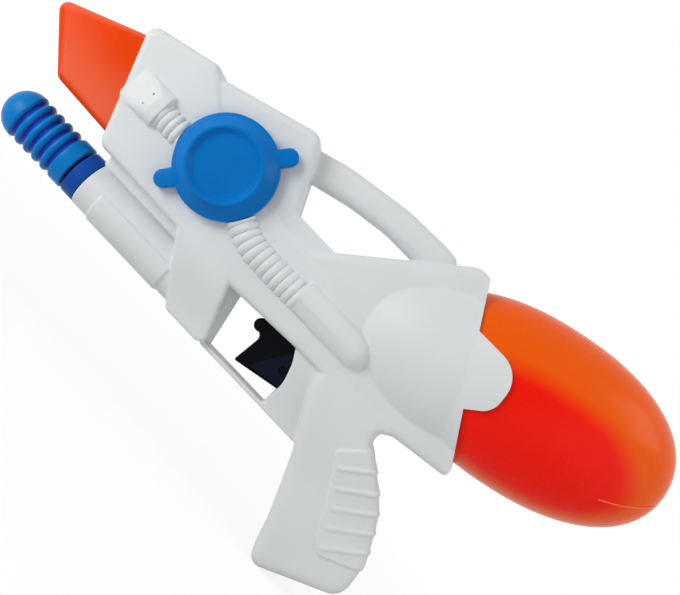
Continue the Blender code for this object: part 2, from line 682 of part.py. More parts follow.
def body_outer():
    """The whole outside of both shells as one solid."""
    leg = slab("leg", rounded(LEG), LEG_HALF, BEAM_RIM)
    leg = tapered(leg, LEG[0][1], LEG[-1][1], LEG_HALF_AT_FOOT / LEG_HALF)
    ridge = []
    for (x, z), half in ((LEG_RIDGE_FOOT, LEG_HALF_AT_FOOT), (LEG_RIDGE_TOP, LEG_HALF)):
        for side in (-1, 1):
            ridge.append((x, side * LEG_RIDGE_HALF, z))
            ridge.append((x - LEG_RIDGE_DEPTH, side * (half - BEAM_RIM), z))
    bulge = turned("bulge", swollen_profile(GAP + WALL, TANK_STEPS), TANK_AXIS, TANK_ORIGIN, LARGE_STEPS)
    fairing_at = (FAIRING_CENTRE[0], 0.0, FAIRING_CENTRE[1])
    forms = [slab("lower_beam", rounded(LOWER_BEAM), LOWER_BEAM_HALF, BEAM_RIM),
             slab("upper_beam", rounded(UPPER_BEAM), UPPER_BEAM_HALF, BEAM_RIM),
             slab("rear_block", rounded(REAR_BLOCK), REAR_BLOCK_HALF, BLOCK_RIM),
             flattened(bulge, GAP + WALL),
             ball("fairing", FAIRING_SIZE, fairing_at, TANK_TILT),
             tapered(slab("grip", rounded(GRIP), GRIP_HALF_AT_TOP, GRIP_RIM), GRIP_FLARE_LOW, GRIP_FLARE_HIGH,
                     GRIP_HALF / GRIP_HALF_AT_TOP),
             tapered(slab("guard", rounded(GUARD), GUARD_HALF_AT_TOP, GUARD_RIM), GUARD[0][1], GUARD[4][1],
                     GUARD_HALF / GUARD_HALF_AT_TOP),
             leg,
             wedge("leg_ridge", ridge),
             slab("handle", rounded(HANDLE), HANDLE_HALF, HANDLE_RIM),
             rod("housing", HOUSING_RADIUS, PUMP_REAR - WALL, PUMP_FRONT + GAP, TO_MUZZLE, PUMP_ORIGIN,
                 LARGE_STEPS),
             block("pump_web", (-PUMP_FRONT, -HOUSING_RADIUS * 0.8, PUMP_Z),
                   (-PUMP_REAR, HOUSING_RADIUS * 0.8, FRONT_BLOCK[0][1] + WALL))]
    for side in (-1, 1):
        forms += relief_forms(side)
    disc = rod("blank_disc", CAP_RADIUS, 0.0, FRONT_BLOCK_HALF + BLANK_DISC_HEIGHT, TO_RIGHT,
               CAP_ORIGIN, LARGE_STEPS)
    return combine("body_outer", slab("front_block", rounded(FRONT_BLOCK), FRONT_BLOCK_HALF, BLOCK_RIM),
                   forms + [disc])


def body_cavity():
    """The hollow inside both shells as one solid."""
    def inner(name, outline, half, rim):
        return slab(name, rounded(outline, WALL), half - WALL, max(rim - WALL, GAP), rim_steps=1)

    leg = tapered(inner("leg_in", LEG, LEG_HALF, BEAM_RIM), LEG[0][1], LEG[-1][1],
                  (LEG_HALF_AT_FOOT - WALL) / (LEG_HALF - WALL))
    rear = inner("rear_in", REAR_BLOCK, REAR_BLOCK_HALF, BLOCK_RIM)
    rear = combine("rear_in", rear, [seam_cutter("ring_left", -1, -SEAM_RING),
                                     seam_cutter("ring_right", 1, -SEAM_RING)], "DIFFERENCE")
    fairing_at = (FAIRING_CENTRE[0], 0.0, FAIRING_CENTRE[1])
    fairing = ball("fairing_in", [size - WALL for size in FAIRING_SIZE], fairing_at, TANK_TILT)
    fairing = combine("fairing_in", fairing, [seam_cutter("fair_left", -1, -SEAM_RING),
                                              seam_cutter("fair_right", 1, -SEAM_RING)], "DIFFERENCE")
    tank = turned("tank_room", swollen_profile(GAP, TANK_STEPS), TANK_AXIS, TANK_ORIGIN, LARGE_STEPS)
    half_slot = TRIGGER_HALF + TRIGGER_SIDE_CLEARANCE
    front, back, low = TRIGGER_POCKET
    forms = [inner("lower_in", LOWER_BEAM, LOWER_BEAM_HALF, BEAM_RIM),
             inner("upper_in", UPPER_BEAM, UPPER_BEAM_HALF, BEAM_RIM),
             flattened(tank, GAP), rear, fairing, leg,
             tapered(inner("grip_in", GRIP, GRIP_HALF_AT_TOP, GRIP_RIM), GRIP_FLARE_LOW, GRIP_FLARE_HIGH,
                     (GRIP_HALF - WALL) / (GRIP_HALF_AT_TOP - WALL)),
             inner("handle_in", HANDLE, HANDLE_HALF, HANDLE_RIM),
             rod("pump_room", PUMP_CYLINDER_RADIUS + GAP, PUMP_REAR - 2.0 * WALL, PUMP_FRONT + 2.0 * WALL,
                 TO_MUZZLE, PUMP_ORIGIN, LARGE_STEPS),
             block("slot", (TRIGGER_SLOT[0], -half_slot, NOSE_Z), (TRIGGER_SLOT[1], half_slot, PIVOT_Z)),
             block("pocket", (front, -half_slot + GAP, low), (back, half_slot - GAP, PIVOT_Z - WALL))]
    return combine("body_cavity", inner("front_in", FRONT_BLOCK, FRONT_BLOCK_HALF, BLOCK_RIM), forms)


def shell(name, side, blank, room, mouth):
    """One half of the body, with its bosses, saddle and holes."""
    inside = SPLIT / 2.0
    axis = TO_RIGHT if side > 0 else TO_LEFT
    across = sorted((side * inside, side * FAR))
    keep = block(name + "_keep", (-FAR, across[0], -FAR), (FAR, across[1], FAR))
    half = helper(name + "_blank", blank.data.copy())
    half.matrix_world = blank.matrix_world.copy()
    half = combine(name + "_half", half, [keep], "INTERSECT")
    half = combine(name + "_hollow", half, [room], "DIFFERENCE")
    adds = []
    cuts = [seam_cutter(name + "_seam", side, 0.0), mouth]
    for index, (x, z, width) in enumerate(SCREWS):
        spot = Vector((x, 0.0, z))
        adds.append(rod(f"{name}_boss_{index}", BOSS_RADIUS, inside, width - WALL / 2.0, axis, spot,
                        SMALL_STEPS))
        if side > 0:
            head_room = SCREW_HEAD_RADIUS + GAP
            shank_room = SCREW_RADIUS + GAP
            profile = [(0.0, FAR), (head_room, FAR), (head_room, SCREW_SEAT), (shank_room, SCREW_SEAT),
                       (shank_room, -GAP), (0.0, -GAP)]
            cuts.append(turned(f"{name}_hole_{index}", profile, axis, spot, SMALL_STEPS))
        else:
            cuts.append(rod(f"{name}_hole_{index}", SCREW_RADIUS + GAP, -GAP, SCREW_TIP + GAP, axis, spot,
                            SMALL_STEPS))
    pivot = Vector((PIVOT_X, 0.0, PIVOT_Z))
    adds.append(rod(name + "_pin_boss", PIN_BOSS_RADIUS, TRIGGER_HALF + TRIGGER_SIDE_CLEARANCE,
                    LOWER_BEAM_HALF - WALL / 2.0, axis, pivot, SMALL_STEPS))
    cuts.append(rod(name + "_pin_hole", PIN_RADIUS + GAP, 0.0, LOWER_BEAM_HALF - 2.0 * WALL, axis, pivot,
                    SMALL_STEPS))
    edge = sorted((side * inside, side * (LOWER_BEAM_HALF - WALL / 2.0)))
    floor = LOWER_BEAM[1][1] + WALL / 2.0
    adds.append(block(name + "_saddle", (SADDLE_X - SADDLE_THICK / 2.0, edge[0], floor),
                      (SADDLE_X + SADDLE_THICK / 2.0, edge[1], VALVE_Z)))
    cuts.append(rod(name + "_valve_room", VALVE_RADIUS + GAP, 0.0, VALVE_FRONT, TO_MUZZLE, VALVE_ORIGIN,
                    MEDIUM_STEPS))
    if side < 0:
        cuts.append(rod(name + "_mouth", MOUTH_RADIUS + GAP, CUP_BACK, FAR, TO_LEFT, CAP_ORIGIN,
                        LARGE_STEPS))
    half = combine(name + "_full", half, adds)
    half = combine(name + "_cut", half, cuts, "DIFFERENCE")
    return part(name, half, "white_plastic")


# Muzzle shroud: a hood, open at its slanted front, whose lip sits behind the shells' edge
edge_low = Vector(SHROUD[1][:2])
edge_high = Vector(SHROUD[2][:2])
edge_line = (edge_high - edge_low).normalized()
edge_in = Vector((edge_line.y, -edge_line.x))
top_line = (edge_high - Vector(SHROUD[3][:2])).normalized()
base_line = (edge_low - Vector(SHROUD[0][:2])).normalized()
seat_top = edge_high + top_line * SHROUD_SEAT / top_line.dot(edge_in)
seat_low = edge_low + base_line * SHROUD_SEAT / base_line.dot(edge_in)
shroud_outline = [SHROUD[0], (*seat_low, 0.0), (*seat_top, 0.0), SHROUD[3]]
mouth_cut = slab("mouth_cut", rounded(shroud_outline, -GAP), SHROUD_HALF + GAP, SHROUD_RIM)
lip_low = seat_low - edge_line * LIP_RISE
lip_high = seat_top + edge_line * LIP_RISE
lip_outline = [(*(lip_low - edge_in * LIP_THICK), 0.0), (*lip_low, 0.0), (*lip_high, 0.0),
               (*(lip_high - edge_in * LIP_THICK), 0.0)]
open_low = Vector(SHROUD[0][:2]) - base_line * SHROUD_HALF * 3.0
open_high = Vector(SHROUD[3][:2]) - top_line * SHROUD_HALF * 3.0
hood_outline = [(*open_low, 0.0), (*seat_low, 0.0), (*seat_top, 0.0), (*open_high, 0.0)]
shroud = slab("shroud", rounded(shroud_outline), SHROUD_HALF, SHROUD_RIM)
shroud = combine("shroud", shroud, [slab("lip", rounded(lip_outline), SHROUD_HALF + LIP_RISE)])
hood = slab("hood", rounded(hood_outline, SHROUD_WALL), SHROUD_HALF - SHROUD_WALL, SHROUD_RIM - SHROUD_WALL)
shroud = combine("shroud", shroud, [hood], "DIFFERENCE")
jet_boss = rod("jet_boss", JET_BOSS_RADIUS, JET_BOSS_REAR, JET_BOSS_FRONT, TO_MUZZLE, JET_ORIGIN,
               MEDIUM_STEPS)
shroud = combine("shroud", shroud, [jet_boss])
jet_room = rod("jet_room", JET_RADIUS + GAP, JET_BOSS_REAR - WALL, JET_BOSS_FRONT + WALL, TO_MUZZLE,
               JET_ORIGIN, MEDIUM_STEPS)
part("muzzle_shroud", combine("shroud", shroud, [jet_room], "DIFFERENCE"), "orange_plastic")

flange_front = JET_BOSS_REAR - GAP
flange_rear = flange_front - JET_FLANGE
jet_profile = [(BORE_RADIUS, JET_BOSS_FRONT + JET_TIP), (BARB_RADIUS, JET_BOSS_FRONT + JET_TIP),
               (JET_RADIUS, JET_BOSS_FRONT), (JET_RADIUS, flange_front), (JET_FLANGE_RADIUS, flange_front),
               (JET_FLANGE_RADIUS, flange_rear), (BARB_RADIUS, flange_rear),
               (BARB_RADIUS, flange_rear - BARB_LENGTH), (BORE_RADIUS, flange_rear - BARB_LENGTH)]
part("nozzle_jet", turned("jet", jet_profile, TO_MUZZLE, JET_ORIGIN, MEDIUM_STEPS, closed=True),
     "natural_plastic", JET_ORIGIN)

# The two shells are one hollow form, split along the middle plane
body = body_outer()
body_room = body_cavity()
shell("left_body_shell", -1, body, body_room, mouth_cut)
shell("right_body_shell", 1, body, body_room, mouth_cut)

head_seat = SCREW_SEAT + GAP
for index, (x, z, _) in enumerate(SCREWS, start=1):
    profile = [(0.0, head_seat + SCREW_HEAD), (SCREW_HEAD_RADIUS, head_seat + SCREW_HEAD),
               (SCREW_HEAD_RADIUS, head_seat), (SCREW_RADIUS, head_seat), (SCREW_RADIUS, -SCREW_TIP),
               (0.0, -SCREW_TIP)]
    spot = Vector((x, 0.0, z))
    part(f"shell_screw_{index}", turned("screw", profile, TO_RIGHT, spot, SMALL_STEPS), "steel", spot)

# Tank with its neck, the bung in the neck and the pickup tube
tank_profile = swollen_profile(0.0, TANK_STEPS, NECK_RADIUS) + [(NECK_RADIUS, NECK_END)]
tank_inside = swollen_profile(-TANK_WALL, TANK_STEPS, NECK_RADIUS - TANK_WALL)
tank_profile += [(NECK_RADIUS - TANK_WALL, NECK_END)] + tank_inside[::-1]
tank = turned("tank", tank_profile, TANK_AXIS, TANK_ORIGIN, LARGE_STEPS)
part("water_tank", flattened(tank, 0.0), "orange_plastic")

seal_face = NECK_END - GAP
bung_face = seal_face - SEAL_THICK - GAP
bung_end = bung_face - BUNG_FLANGE
bung_inner = NECK_END + BUNG_PLUG
neck_bore = NECK_RADIUS - TANK_WALL
bung_seal = ring("seal", NECK_RADIUS, neck_bore, seal_face - SEAL_THICK, seal_face, TANK_AXIS, TANK_ORIGIN,
                 LARGE_STEPS)
part("bung_seal", bung_seal, "black_rubber")
bung_profile = [(0.0, bung_inner), (neck_bore - GAP, bung_inner), (neck_bore - GAP, bung_face),
                (NECK_RADIUS, bung_face), (NECK_RADIUS, bung_end), (0.0, bung_end)]
bung = turned("bung", bung_profile, TANK_AXIS, TANK_ORIGIN, LARGE_STEPS)
spigot_line = tank_axis_point(0.0, SPIGOT_OFFSET)
barb_line = tank_axis_point(0.0, BUNG_BARB_OFFSET)
bung = combine("bung", bung, [
    rod("bung_spigot", SPIGOT_RADIUS, bung_end - SPIGOT_LENGTH, bung_face, TANK_AXIS, spigot_line,
        MEDIUM_STEPS),
    rod("bung_barb", BARB_RADIUS, bung_end - BARB_LENGTH, bung_inner + BARB_LENGTH, TANK_AXIS, barb_line,
        SMALL_STEPS)])
bung = combine("bung", bung, [
    rod("spigot_bore", SPIGOT_RADIUS - SPIGOT_WALL, -FAR, bung_inner + WALL, TANK_AXIS, spigot_line,
        MEDIUM_STEPS),
    rod("barb_bore", BORE_RADIUS, -FAR, FAR, TANK_AXIS, barb_line, SMALL_STEPS)], "DIFFERENCE")
part("tank_bung", bung, "natural_plastic")
pickup_start = bung_inner + GAP
pickup = [tank_axis_point(pickup_start, BUNG_BARB_OFFSET),
          tank_axis_point(pickup_start + PICKUP_LEAD, BUNG_BARB_OFFSET)]
for along, down in PICKUP_SHARES:
    pickup.append(tank_axis_point(along * TANK_HALF_LENGTH, down * TANK_RADIUS))
part("pickup_tube", hose("pickup", pickup, BARB_RADIUS), "soft_hose")

# Filler: a well behind the mouth, its cap and seal, and the tube to the tank
mouth_top = FRONT_BLOCK_HALF + MOUTH_RISE
shoulder = FRONT_BLOCK_HALF - WALL - GAP
cup_profile = [(0.0, mouth_top), (MOUTH_RADIUS, mouth_top), (MOUTH_RADIUS, shoulder), (CUP_RADIUS, shoulder),
               (CUP_RADIUS, -CUP_BACK), (0.0, -CUP_BACK)]
mouth_bore = MOUTH_RADIUS - MOUTH_WALL
cup_bore = CUP_RADIUS - MOUTH_WALL
well_floor = MOUTH_WALL - CUP_BACK
well_profile = [(0.0, FAR), (mouth_bore, FAR), (mouth_bore, shoulder - MOUTH_WALL),
                (cup_bore, shoulder - MOUTH_WALL), (cup_bore, well_floor), (0.0, well_floor)]
spigot_end = CAP_X + CUP_RADIUS + SPIGOT_LENGTH
spigot_line = Vector((0.0, 0.0, CUP_SPIGOT_Z))
cup_floor = CAP_Z - CUP_RADIUS
cup_axis = Vector((CAP_X, 0.0, 0.0))
cup = turned("cup", cup_profile, TO_LEFT, CAP_ORIGIN, LARGE_STEPS)
cup = combine("cup", cup, [
    rod("cup_spigot", SPIGOT_RADIUS, CAP_X + GAP, spigot_end, ALONG_X, spigot_line, MEDIUM_STEPS),
    rod("cup_barb", BARB_RADIUS, cup_floor - BARB_LENGTH, CAP_Z, UP, cup_axis, SMALL_STEPS)])
cup = combine("cup", cup, [
    turned("well", well_profile, TO_LEFT, CAP_ORIGIN, LARGE_STEPS),
    rod("cup_spigot_bore", SPIGOT_RADIUS - SPIGOT_WALL, CAP_X, spigot_end + WALL, ALONG_X, spigot_line,
        MEDIUM_STEPS),
    rod("cup_barb_bore", BORE_RADIUS, cup_floor - 2.0 * BARB_LENGTH, CAP_Z, UP, cup_axis, SMALL_STEPS)],
    "DIFFERENCE")
part("filler_cup", cup, "natural_plastic")
cap_seal = ring("washer", MOUTH_RADIUS, mouth_bore - WALL, mouth_top + GAP, mouth_top + GAP + SEAL_THICK,
                TO_LEFT, CAP_ORIGIN, LARGE_STEPS)
part("cap_seal", cap_seal, "black_rubber", CAP_ORIGIN)

cap_base = FRONT_BLOCK_HALF + GAP
cap_ceiling = mouth_top + SEAL_THICK + 2.0 * GAP
cap_room = MOUTH_RADIUS + 2.0 * GAP
rim_top = cap_base + CAP_RIM_HEIGHT
ridge_top = cap_base + CAP_RIDGE_HEIGHT
cap_profile = [(0.0, cap_base + CAP_DISC_HEIGHT), (CAP_DISC_RADIUS, cap_base + CAP_DISC_HEIGHT),
               (CAP_RIDGE_RADIUS - CAP_EDGE, ridge_top), (CAP_RIDGE_RADIUS, ridge_top),
               (CAP_RADIUS - CAP_EDGE, rim_top + CAP_EDGE_DROP), (CAP_RADIUS, rim_top),
               (CAP_RADIUS, cap_base), (CAP_RADIUS - CAP_WALL, cap_base),
               (CAP_RADIUS - CAP_WALL - CAP_EDGE, rim_top), (CAP_RIDGE_RADIUS, cap_ceiling + GAP),
               (cap_room + CAP_WALL, cap_ceiling + GAP), (cap_room + CAP_WALL, cap_base + GAP),
               (cap_room, cap_base + GAP), (cap_room, cap_ceiling), (0.0, cap_ceiling)]
cap = turned("cap", cap_profile, TO_LEFT, CAP_ORIGIN, LARGE_STEPS)
lugs = []
for index, angle in enumerate(LUG_ANGLES):
    along = Vector((math.cos(angle), math.sin(angle)))
    beside = Vector((-along.y, along.x)) * LUG_HALF
    centre = Vector((CAP_X, CAP_Z))
    root = centre + along * (CAP_RADIUS - 2.0 * CAP_WALL)
    tip = centre + along * LUG_REACH
    outline = [(*(root - beside), 0.0), (*(tip - beside), LUG_ROUND), (*(tip + beside), LUG_ROUND),
               (*(root + beside), 0.0)]
    lugs.append(slab(f"lug_{index}", rounded(outline), LUG_HEIGHT / 2.0, GUARD_RIM,
                     -(cap_base + GAP + LUG_HEIGHT / 2.0)))
part("filler_cap", combine("cap", cap, lugs), "blue_plastic", CAP_ORIGIN)

tube_start = CAP_X + CUP_RADIUS + 2.0 * GAP
filler_route = [(tube_start, 0.0, CUP_SPIGOT_Z), (spigot_end + HOSE_LEAD, 0.0, CUP_SPIGOT_Z)]
filler_route += [(x, 0.0, z) for x, z in FILLER_BENDS]
filler_route += [tank_axis_point(bung_end - SPIGOT_LENGTH - HOSE_LEAD, SPIGOT_OFFSET),
                 tank_axis_point(bung_end - GAP, SPIGOT_OFFSET)]
part("filler_tube", hose("filler", filler_route, SPIGOT_RADIUS, 4), "soft_hose")

# Hand pump
collar_rear = PUMP_FRONT + 2.0 * GAP
collar_front = collar_rear + PUMP_COLLAR_LENGTH
rod_room = PUMP_ROD_RADIUS + GAP
cylinder = ring("cylinder", PUMP_CYLINDER_RADIUS, PUMP_BORE, PUMP_REAR, PUMP_FRONT, TO_MUZZLE, PUMP_ORIGIN,
                LARGE_STEPS)
part("pump_cylinder", cylinder, "natural_plastic")
collar_profile = [(rod_room, collar_front), (PUMP_COLLAR_RADIUS - GUARD_RIM, collar_front),
                  (PUMP_COLLAR_RADIUS, collar_front - GUARD_RIM), (PUMP_COLLAR_RADIUS, collar_rear),
                  (PUMP_BORE - GAP, collar_rear), (PUMP_BORE - GAP, collar_rear - PUMP_COLLAR_SPIGOT),
                  (rod_room, collar_rear - PUMP_COLLAR_SPIGOT)]
part("pump_collar", turned("collar", collar_profile, TO_MUZZLE, PUMP_ORIGIN, LARGE_STEPS, closed=True),
     "blue_plastic")

grip_rear = collar_front + PUMP_GRIP_GAP
ribs_rear = grip_rear + PUMP_GRIP_END
dome_base = ribs_rear + PUMP_RIB_COUNT * PUMP_RIB_PITCH
groove = PUMP_GRIP_RADIUS - PUMP_RIB_DEPTH
grip_profile = []
for step in range(PUMP_DOME_STEPS):
    angle = math.radians(90.0) * step / PUMP_DOME_STEPS
    grip_profile.append((PUMP_GRIP_RADIUS * math.sin(angle), dome_base + PUMP_DOME * math.cos(angle)))
grip_profile.append((PUMP_GRIP_RADIUS, dome_base + PUMP_DOME_EDGE))
for index in range(PUMP_RIB_COUNT + 1):
    top = dome_base - index * PUMP_RIB_PITCH
    grip_profile.append((groove, top))
    for along, down in PUMP_RIB_SHARES[:3 if index < PUMP_RIB_COUNT else 2]:
        grip_profile.append((PUMP_GRIP_RADIUS - PUMP_RIB_DEPTH * down, top - PUMP_RIB_PITCH * along))
hollow = groove - PUMP_GRIP_WALL
stem = rod_room + PUMP_GRIP_WALL
grip_profile += [(PUMP_GRIP_RADIUS, grip_rear + GUARD_RIM), (PUMP_GRIP_RADIUS - GUARD_RIM, grip_rear),
                 (hollow, grip_rear), (hollow, dome_base), (stem, dome_base), (stem, grip_rear + GUARD_RIM),
                 (rod_room, grip_rear + GUARD_RIM), (rod_room, dome_base), (0.0, dome_base)]
part("pump_grip", turned("grip_form", grip_profile, TO_MUZZLE, PUMP_ORIGIN, LARGE_STEPS), "blue_plastic",
     PUMP_ORIGIN)

plug_front = PUMP_REAR + PUMP_PLUG
piston_rear = plug_front + PUMP_PISTON_CLEAR
piston_front = piston_rear + PUMP_PISTON_LENGTH
socket = piston_rear + PISTON_SOCKET
ring_floor = PUMP_BORE - GAP - PISTON_RING_DEPTH
ring_low = piston_rear + RING_BACK
ring_high = ring_low + PISTON_RING_WIDTH + 2.0 * GAP
piston_edge = PUMP_BORE - 2.0 * GAP
piston_profile = [(0.0, socket), (rod_room, socket), (rod_room, piston_front), (piston_edge, piston_front),
                  (piston_edge, ring_high), (ring_floor, ring_high), (ring_floor, ring_low),
                  (piston_edge, ring_low), (piston_edge, piston_rear), (0.0, piston_rear)]
part("pump_piston", turned("piston", piston_profile, TO_MUZZLE, PUMP_ORIGIN, LARGE_STEPS), "natural_plastic",
     PUMP_ORIGIN)
piston_ring = ring("ring", PUMP_BORE - GAP, ring_floor + GAP, ring_low + GAP, ring_high - GAP, TO_MUZZLE,
                   PUMP_ORIGIN, LARGE_STEPS)
part("piston_ring", piston_ring, "black_rubber", PUMP_ORIGIN)
pump_rod = rod("rod_form", PUMP_ROD_RADIUS, socket + GAP, dome_base - GAP, TO_MUZZLE, PUMP_ORIGIN,
               SMALL_STEPS)
part("pump_rod", pump_rod, "natural_plastic", PUMP_ORIGIN)

pump_flange = PUMP_REAR - GAP
elbow_front = pump_flange - PUMP_FLANGE
elbow_end = elbow_front - ELBOW_REACH
disc_seat = plug_front - CHECK_DISC_THICK - 2.0 * GAP
valve_profile = [(0.0, disc_seat), (CHECK_DISC_RADIUS + GAP, disc_seat),
                 (CHECK_DISC_RADIUS + GAP, plug_front),
                 (PUMP_BORE - GAP, plug_front), (PUMP_BORE - GAP, pump_flange),
                 (PUMP_CYLINDER_RADIUS, pump_flange), (PUMP_CYLINDER_RADIUS, elbow_front),
                 (ELBOW_RADIUS, elbow_front), (ELBOW_RADIUS, elbow_end), (0.0, elbow_end)]
elbow_x = -(elbow_front + elbow_end) / 2.0
elbow_axis = Vector((elbow_x, 0.0, 0.0))
elbow_top = PUMP_Z + ELBOW_RISE
pump_valve = turned("inlet", valve_profile, TO_MUZZLE, PUMP_ORIGIN, LARGE_STEPS)
riser = rod("riser", BARB_RADIUS, PUMP_Z, elbow_top, UP, elbow_axis, SMALL_STEPS)
pump_valve = combine("inlet", pump_valve, [riser])
pump_valve = combine("inlet", pump_valve, [
    rod("riser_bore", BORE_RADIUS, PUMP_Z - 2.0 * BORE_RADIUS, elbow_top + WALL, UP, elbow_axis,
        SMALL_STEPS),
    rod("valve_bore", CROSS_BORE_RADIUS, (elbow_front + elbow_end) / 2.0, disc_seat + GAP, TO_MUZZLE,
        PUMP_ORIGIN, SMALL_STEPS)], "DIFFERENCE")
part("pump_valve", pump_valve, "natural_plastic")
check_disc = rod("disc", CHECK_DISC_RADIUS, disc_seat + GAP, disc_seat + GAP + CHECK_DISC_THICK, TO_MUZZLE,
                 PUMP_ORIGIN, MEDIUM_STEPS)
part("check_disc", check_disc, "black_rubber")
air_route = [(elbow_x, 0.0, PUMP_Z + ELBOW_RADIUS + GAP), (elbow_x, 0.0, elbow_top + HOSE_LEAD)]
air_route += [(x, 0.0, z) for x, z in AIR_BENDS]
air_route += [(CAP_X + AIR_END_SHIFT, 0.0, cup_floor - BARB_LENGTH - HOSE_LEAD),
              (CAP_X, 0.0, cup_floor - BARB_LENGTH / 2.0), (CAP_X, 0.0, cup_floor - 2.0 * GAP)]
part("air_hose", hose("air_route", air_route, BARB_RADIUS), "soft_hose")

# Trigger on its pin
pivot = Vector((PIVOT_X, 0.0, PIVOT_Z))
trigger = slab("lever", rounded(TRIGGER), TRIGGER_HALF, TRIGGER_RIM)
knob_spot = Vector((PIVOT_X, 0.0, VALVE_Z))
nose_spot = Vector((NOSE_X, 0.0, NOSE_Z))
inner_half = TRIGGER_HALF - GAP
trigger = combine("lever", trigger, [
    rod("knob", KNOB_RADIUS, -inner_half, inner_half, TO_RIGHT, knob_spot, MEDIUM_STEPS),
    rod("nose", NOSE_RADIUS, -inner_half, inner_half, TO_RIGHT, nose_spot, MEDIUM_STEPS)])
pin_room = rod("pin_room", PIN_RADIUS + PIN_CLEARANCE, -FAR, FAR, TO_RIGHT, pivot, SMALL_STEPS)
trigger = combine("lever", trigger, [pin_room], "DIFFERENCE")
part("trigger", trigger, "black_plastic", pivot)
pin_half = LOWER_BEAM_HALF - 2.0 * WALL - GAP
part("trigger_pin", rod("pin", PIN_RADIUS, -pin_half, pin_half, TO_RIGHT, pivot, SMALL_STEPS), "steel", pivot)

# Valve that the trigger opens
bore_end = VALVE_FRONT - VALVE_END_WALL
barb_front = VALVE_FRONT + BARB_LENGTH
valve_profile = [(0.0, barb_front), (BARB_RADIUS, barb_front), (BARB_RADIUS, VALVE_FRONT),
                 (VALVE_RADIUS, VALVE_FRONT), (VALVE_RADIUS, VALVE_REAR), (VALVE_BORE, VALVE_REAR),
                 (VALVE_BORE, bore_end), (0.0, bore_end)]
side_line = Vector((0.0, VALVE_SIDE_Y, VALVE_Z))
side_rear = VALVE_REAR + WALL
side_front = side_rear + 2.0 * BARB_LENGTH
valve_wall = (VALVE_RADIUS + VALVE_BORE) / 2.0
port = (side_rear + side_front) / 2.0 + GAP
valve = turned("valve", valve_profile, TO_MUZZLE, VALVE_ORIGIN, MEDIUM_STEPS)
valve = combine("valve", valve, [
    block("valve_web", (-side_front + GUARD_RIM, valve_wall, VALVE_Z - BARB_RADIUS),
          (-side_rear - GUARD_RIM, VALVE_SIDE_Y, VALVE_Z + BARB_RADIUS)),
    rod("valve_side", VALVE_SIDE_RADIUS, side_rear, side_front, TO_MUZZLE, side_line, SMALL_STEPS),
    rod("valve_barb", BARB_RADIUS, side_rear - BARB_LENGTH, side_front - GUARD_RIM, TO_MUZZLE, side_line,
        SMALL_STEPS)])
valve = combine("valve", valve, [
    rod("outlet_bore", BORE_RADIUS, bore_end - GAP, barb_front + WALL, TO_MUZZLE, VALVE_ORIGIN, SMALL_STEPS),
    rod("inlet_bore", BORE_RADIUS, side_rear - 2.0 * BARB_LENGTH, port + 2.0 * BORE_RADIUS, TO_MUZZLE,
        side_line, SMALL_STEPS),
    rod("port_bore", CROSS_BORE_RADIUS, 0.0, VALVE_SIDE_Y, TO_RIGHT, Vector((-port, 0.0, VALVE_Z)),
        SMALL_STEPS)], "DIFFERENCE")
part("valve_body", valve, "natural_plastic")

head_rear = VALVE_REAR + WALL
head_front = head_rear + PLUNGER_LENGTH
stem_end = -(PIVOT_X - KNOB_RADIUS - GAP)
ring_floor = VALVE_BORE - GAP - PISTON_RING_DEPTH
ring_low = head_rear + PLUNGER_RING_BACK
ring_high = ring_low + PISTON_RING_WIDTH + 2.0 * GAP
head_edge = VALVE_BORE - GAP
plunger_profile = [(0.0, head_front), (head_edge, head_front), (head_edge, ring_high),
                   (ring_floor, ring_high), (ring_floor, ring_low), (head_edge, ring_low),
                   (head_edge, head_rear), (PLUNGER_STEM_RADIUS, head_rear),
                   (PLUNGER_STEM_RADIUS, stem_end), (0.0, stem_end)]
plunger = turned("plunger", plunger_profile, TO_MUZZLE, VALVE_ORIGIN, MEDIUM_STEPS)
part("valve_plunger", plunger, "natural_plastic", VALVE_ORIGIN)
plunger_ring = ring("ring", head_edge, ring_floor + GAP, ring_low + GAP, ring_high - GAP, TO_MUZZLE,
                    VALVE_ORIGIN, MEDIUM_STEPS)
part("plunger_ring", plunger_ring, "black_rubber", VALVE_ORIGIN)
spring_low = head_front + GAP + SPRING_WIRE
spring_high = bore_end - GAP - SPRING_WIRE
spring_radius = VALVE_BORE - GAP - 2.0 * SPRING_WIRE
spring_points = []
spring_steps = SPRING_TURNS * SPRING_TURN_STEPS
for step in range(spring_steps + 1):
    share = step / spring_steps
    angle = 2.0 * math.pi * SPRING_TURNS * share
    along = spring_low + (spring_high - spring_low) * share
    spot = Vector((-along, spring_radius * math.cos(angle), spring_radius * math.sin(angle)))
    spring_points.append(VALVE_ORIGIN + spot)
part("valve_spring", tube("spring", spring_points, [SPRING_WIRE] * len(spring_points), 1), "steel")

feed_route = [tank_axis_point(bung_end - GAP, BUNG_BARB_OFFSET),
              tank_axis_point(bung_end - BARB_LENGTH - HOSE_LEAD, BUNG_BARB_OFFSET)]
feed_route += FEED_BENDS
feed_route += [(-(side_rear - BARB_LENGTH), VALVE_SIDE_Y, VALVE_Z),
               (-(side_rear - GAP), VALVE_SIDE_Y, VALVE_Z)]
part("feed_hose", hose("feed_route", feed_route, BARB_RADIUS), "soft_hose")
jet_route = [(-(VALVE_FRONT + GAP), 0.0, VALVE_Z), (-(barb_front + HOSE_LEAD), 0.0, VALVE_Z)]
jet_route += JET_BENDS
jet_route += [(-(flange_rear - BARB_LENGTH), 0.0, JET_Z), (-(flange_rear - GAP), 0.0, JET_Z)]
part("jet_hose", hose("jet_route", jet_route, BARB_RADIUS), "soft_hose")
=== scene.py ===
import json
import math

import bpy
from mathutils import Matrix, Vector


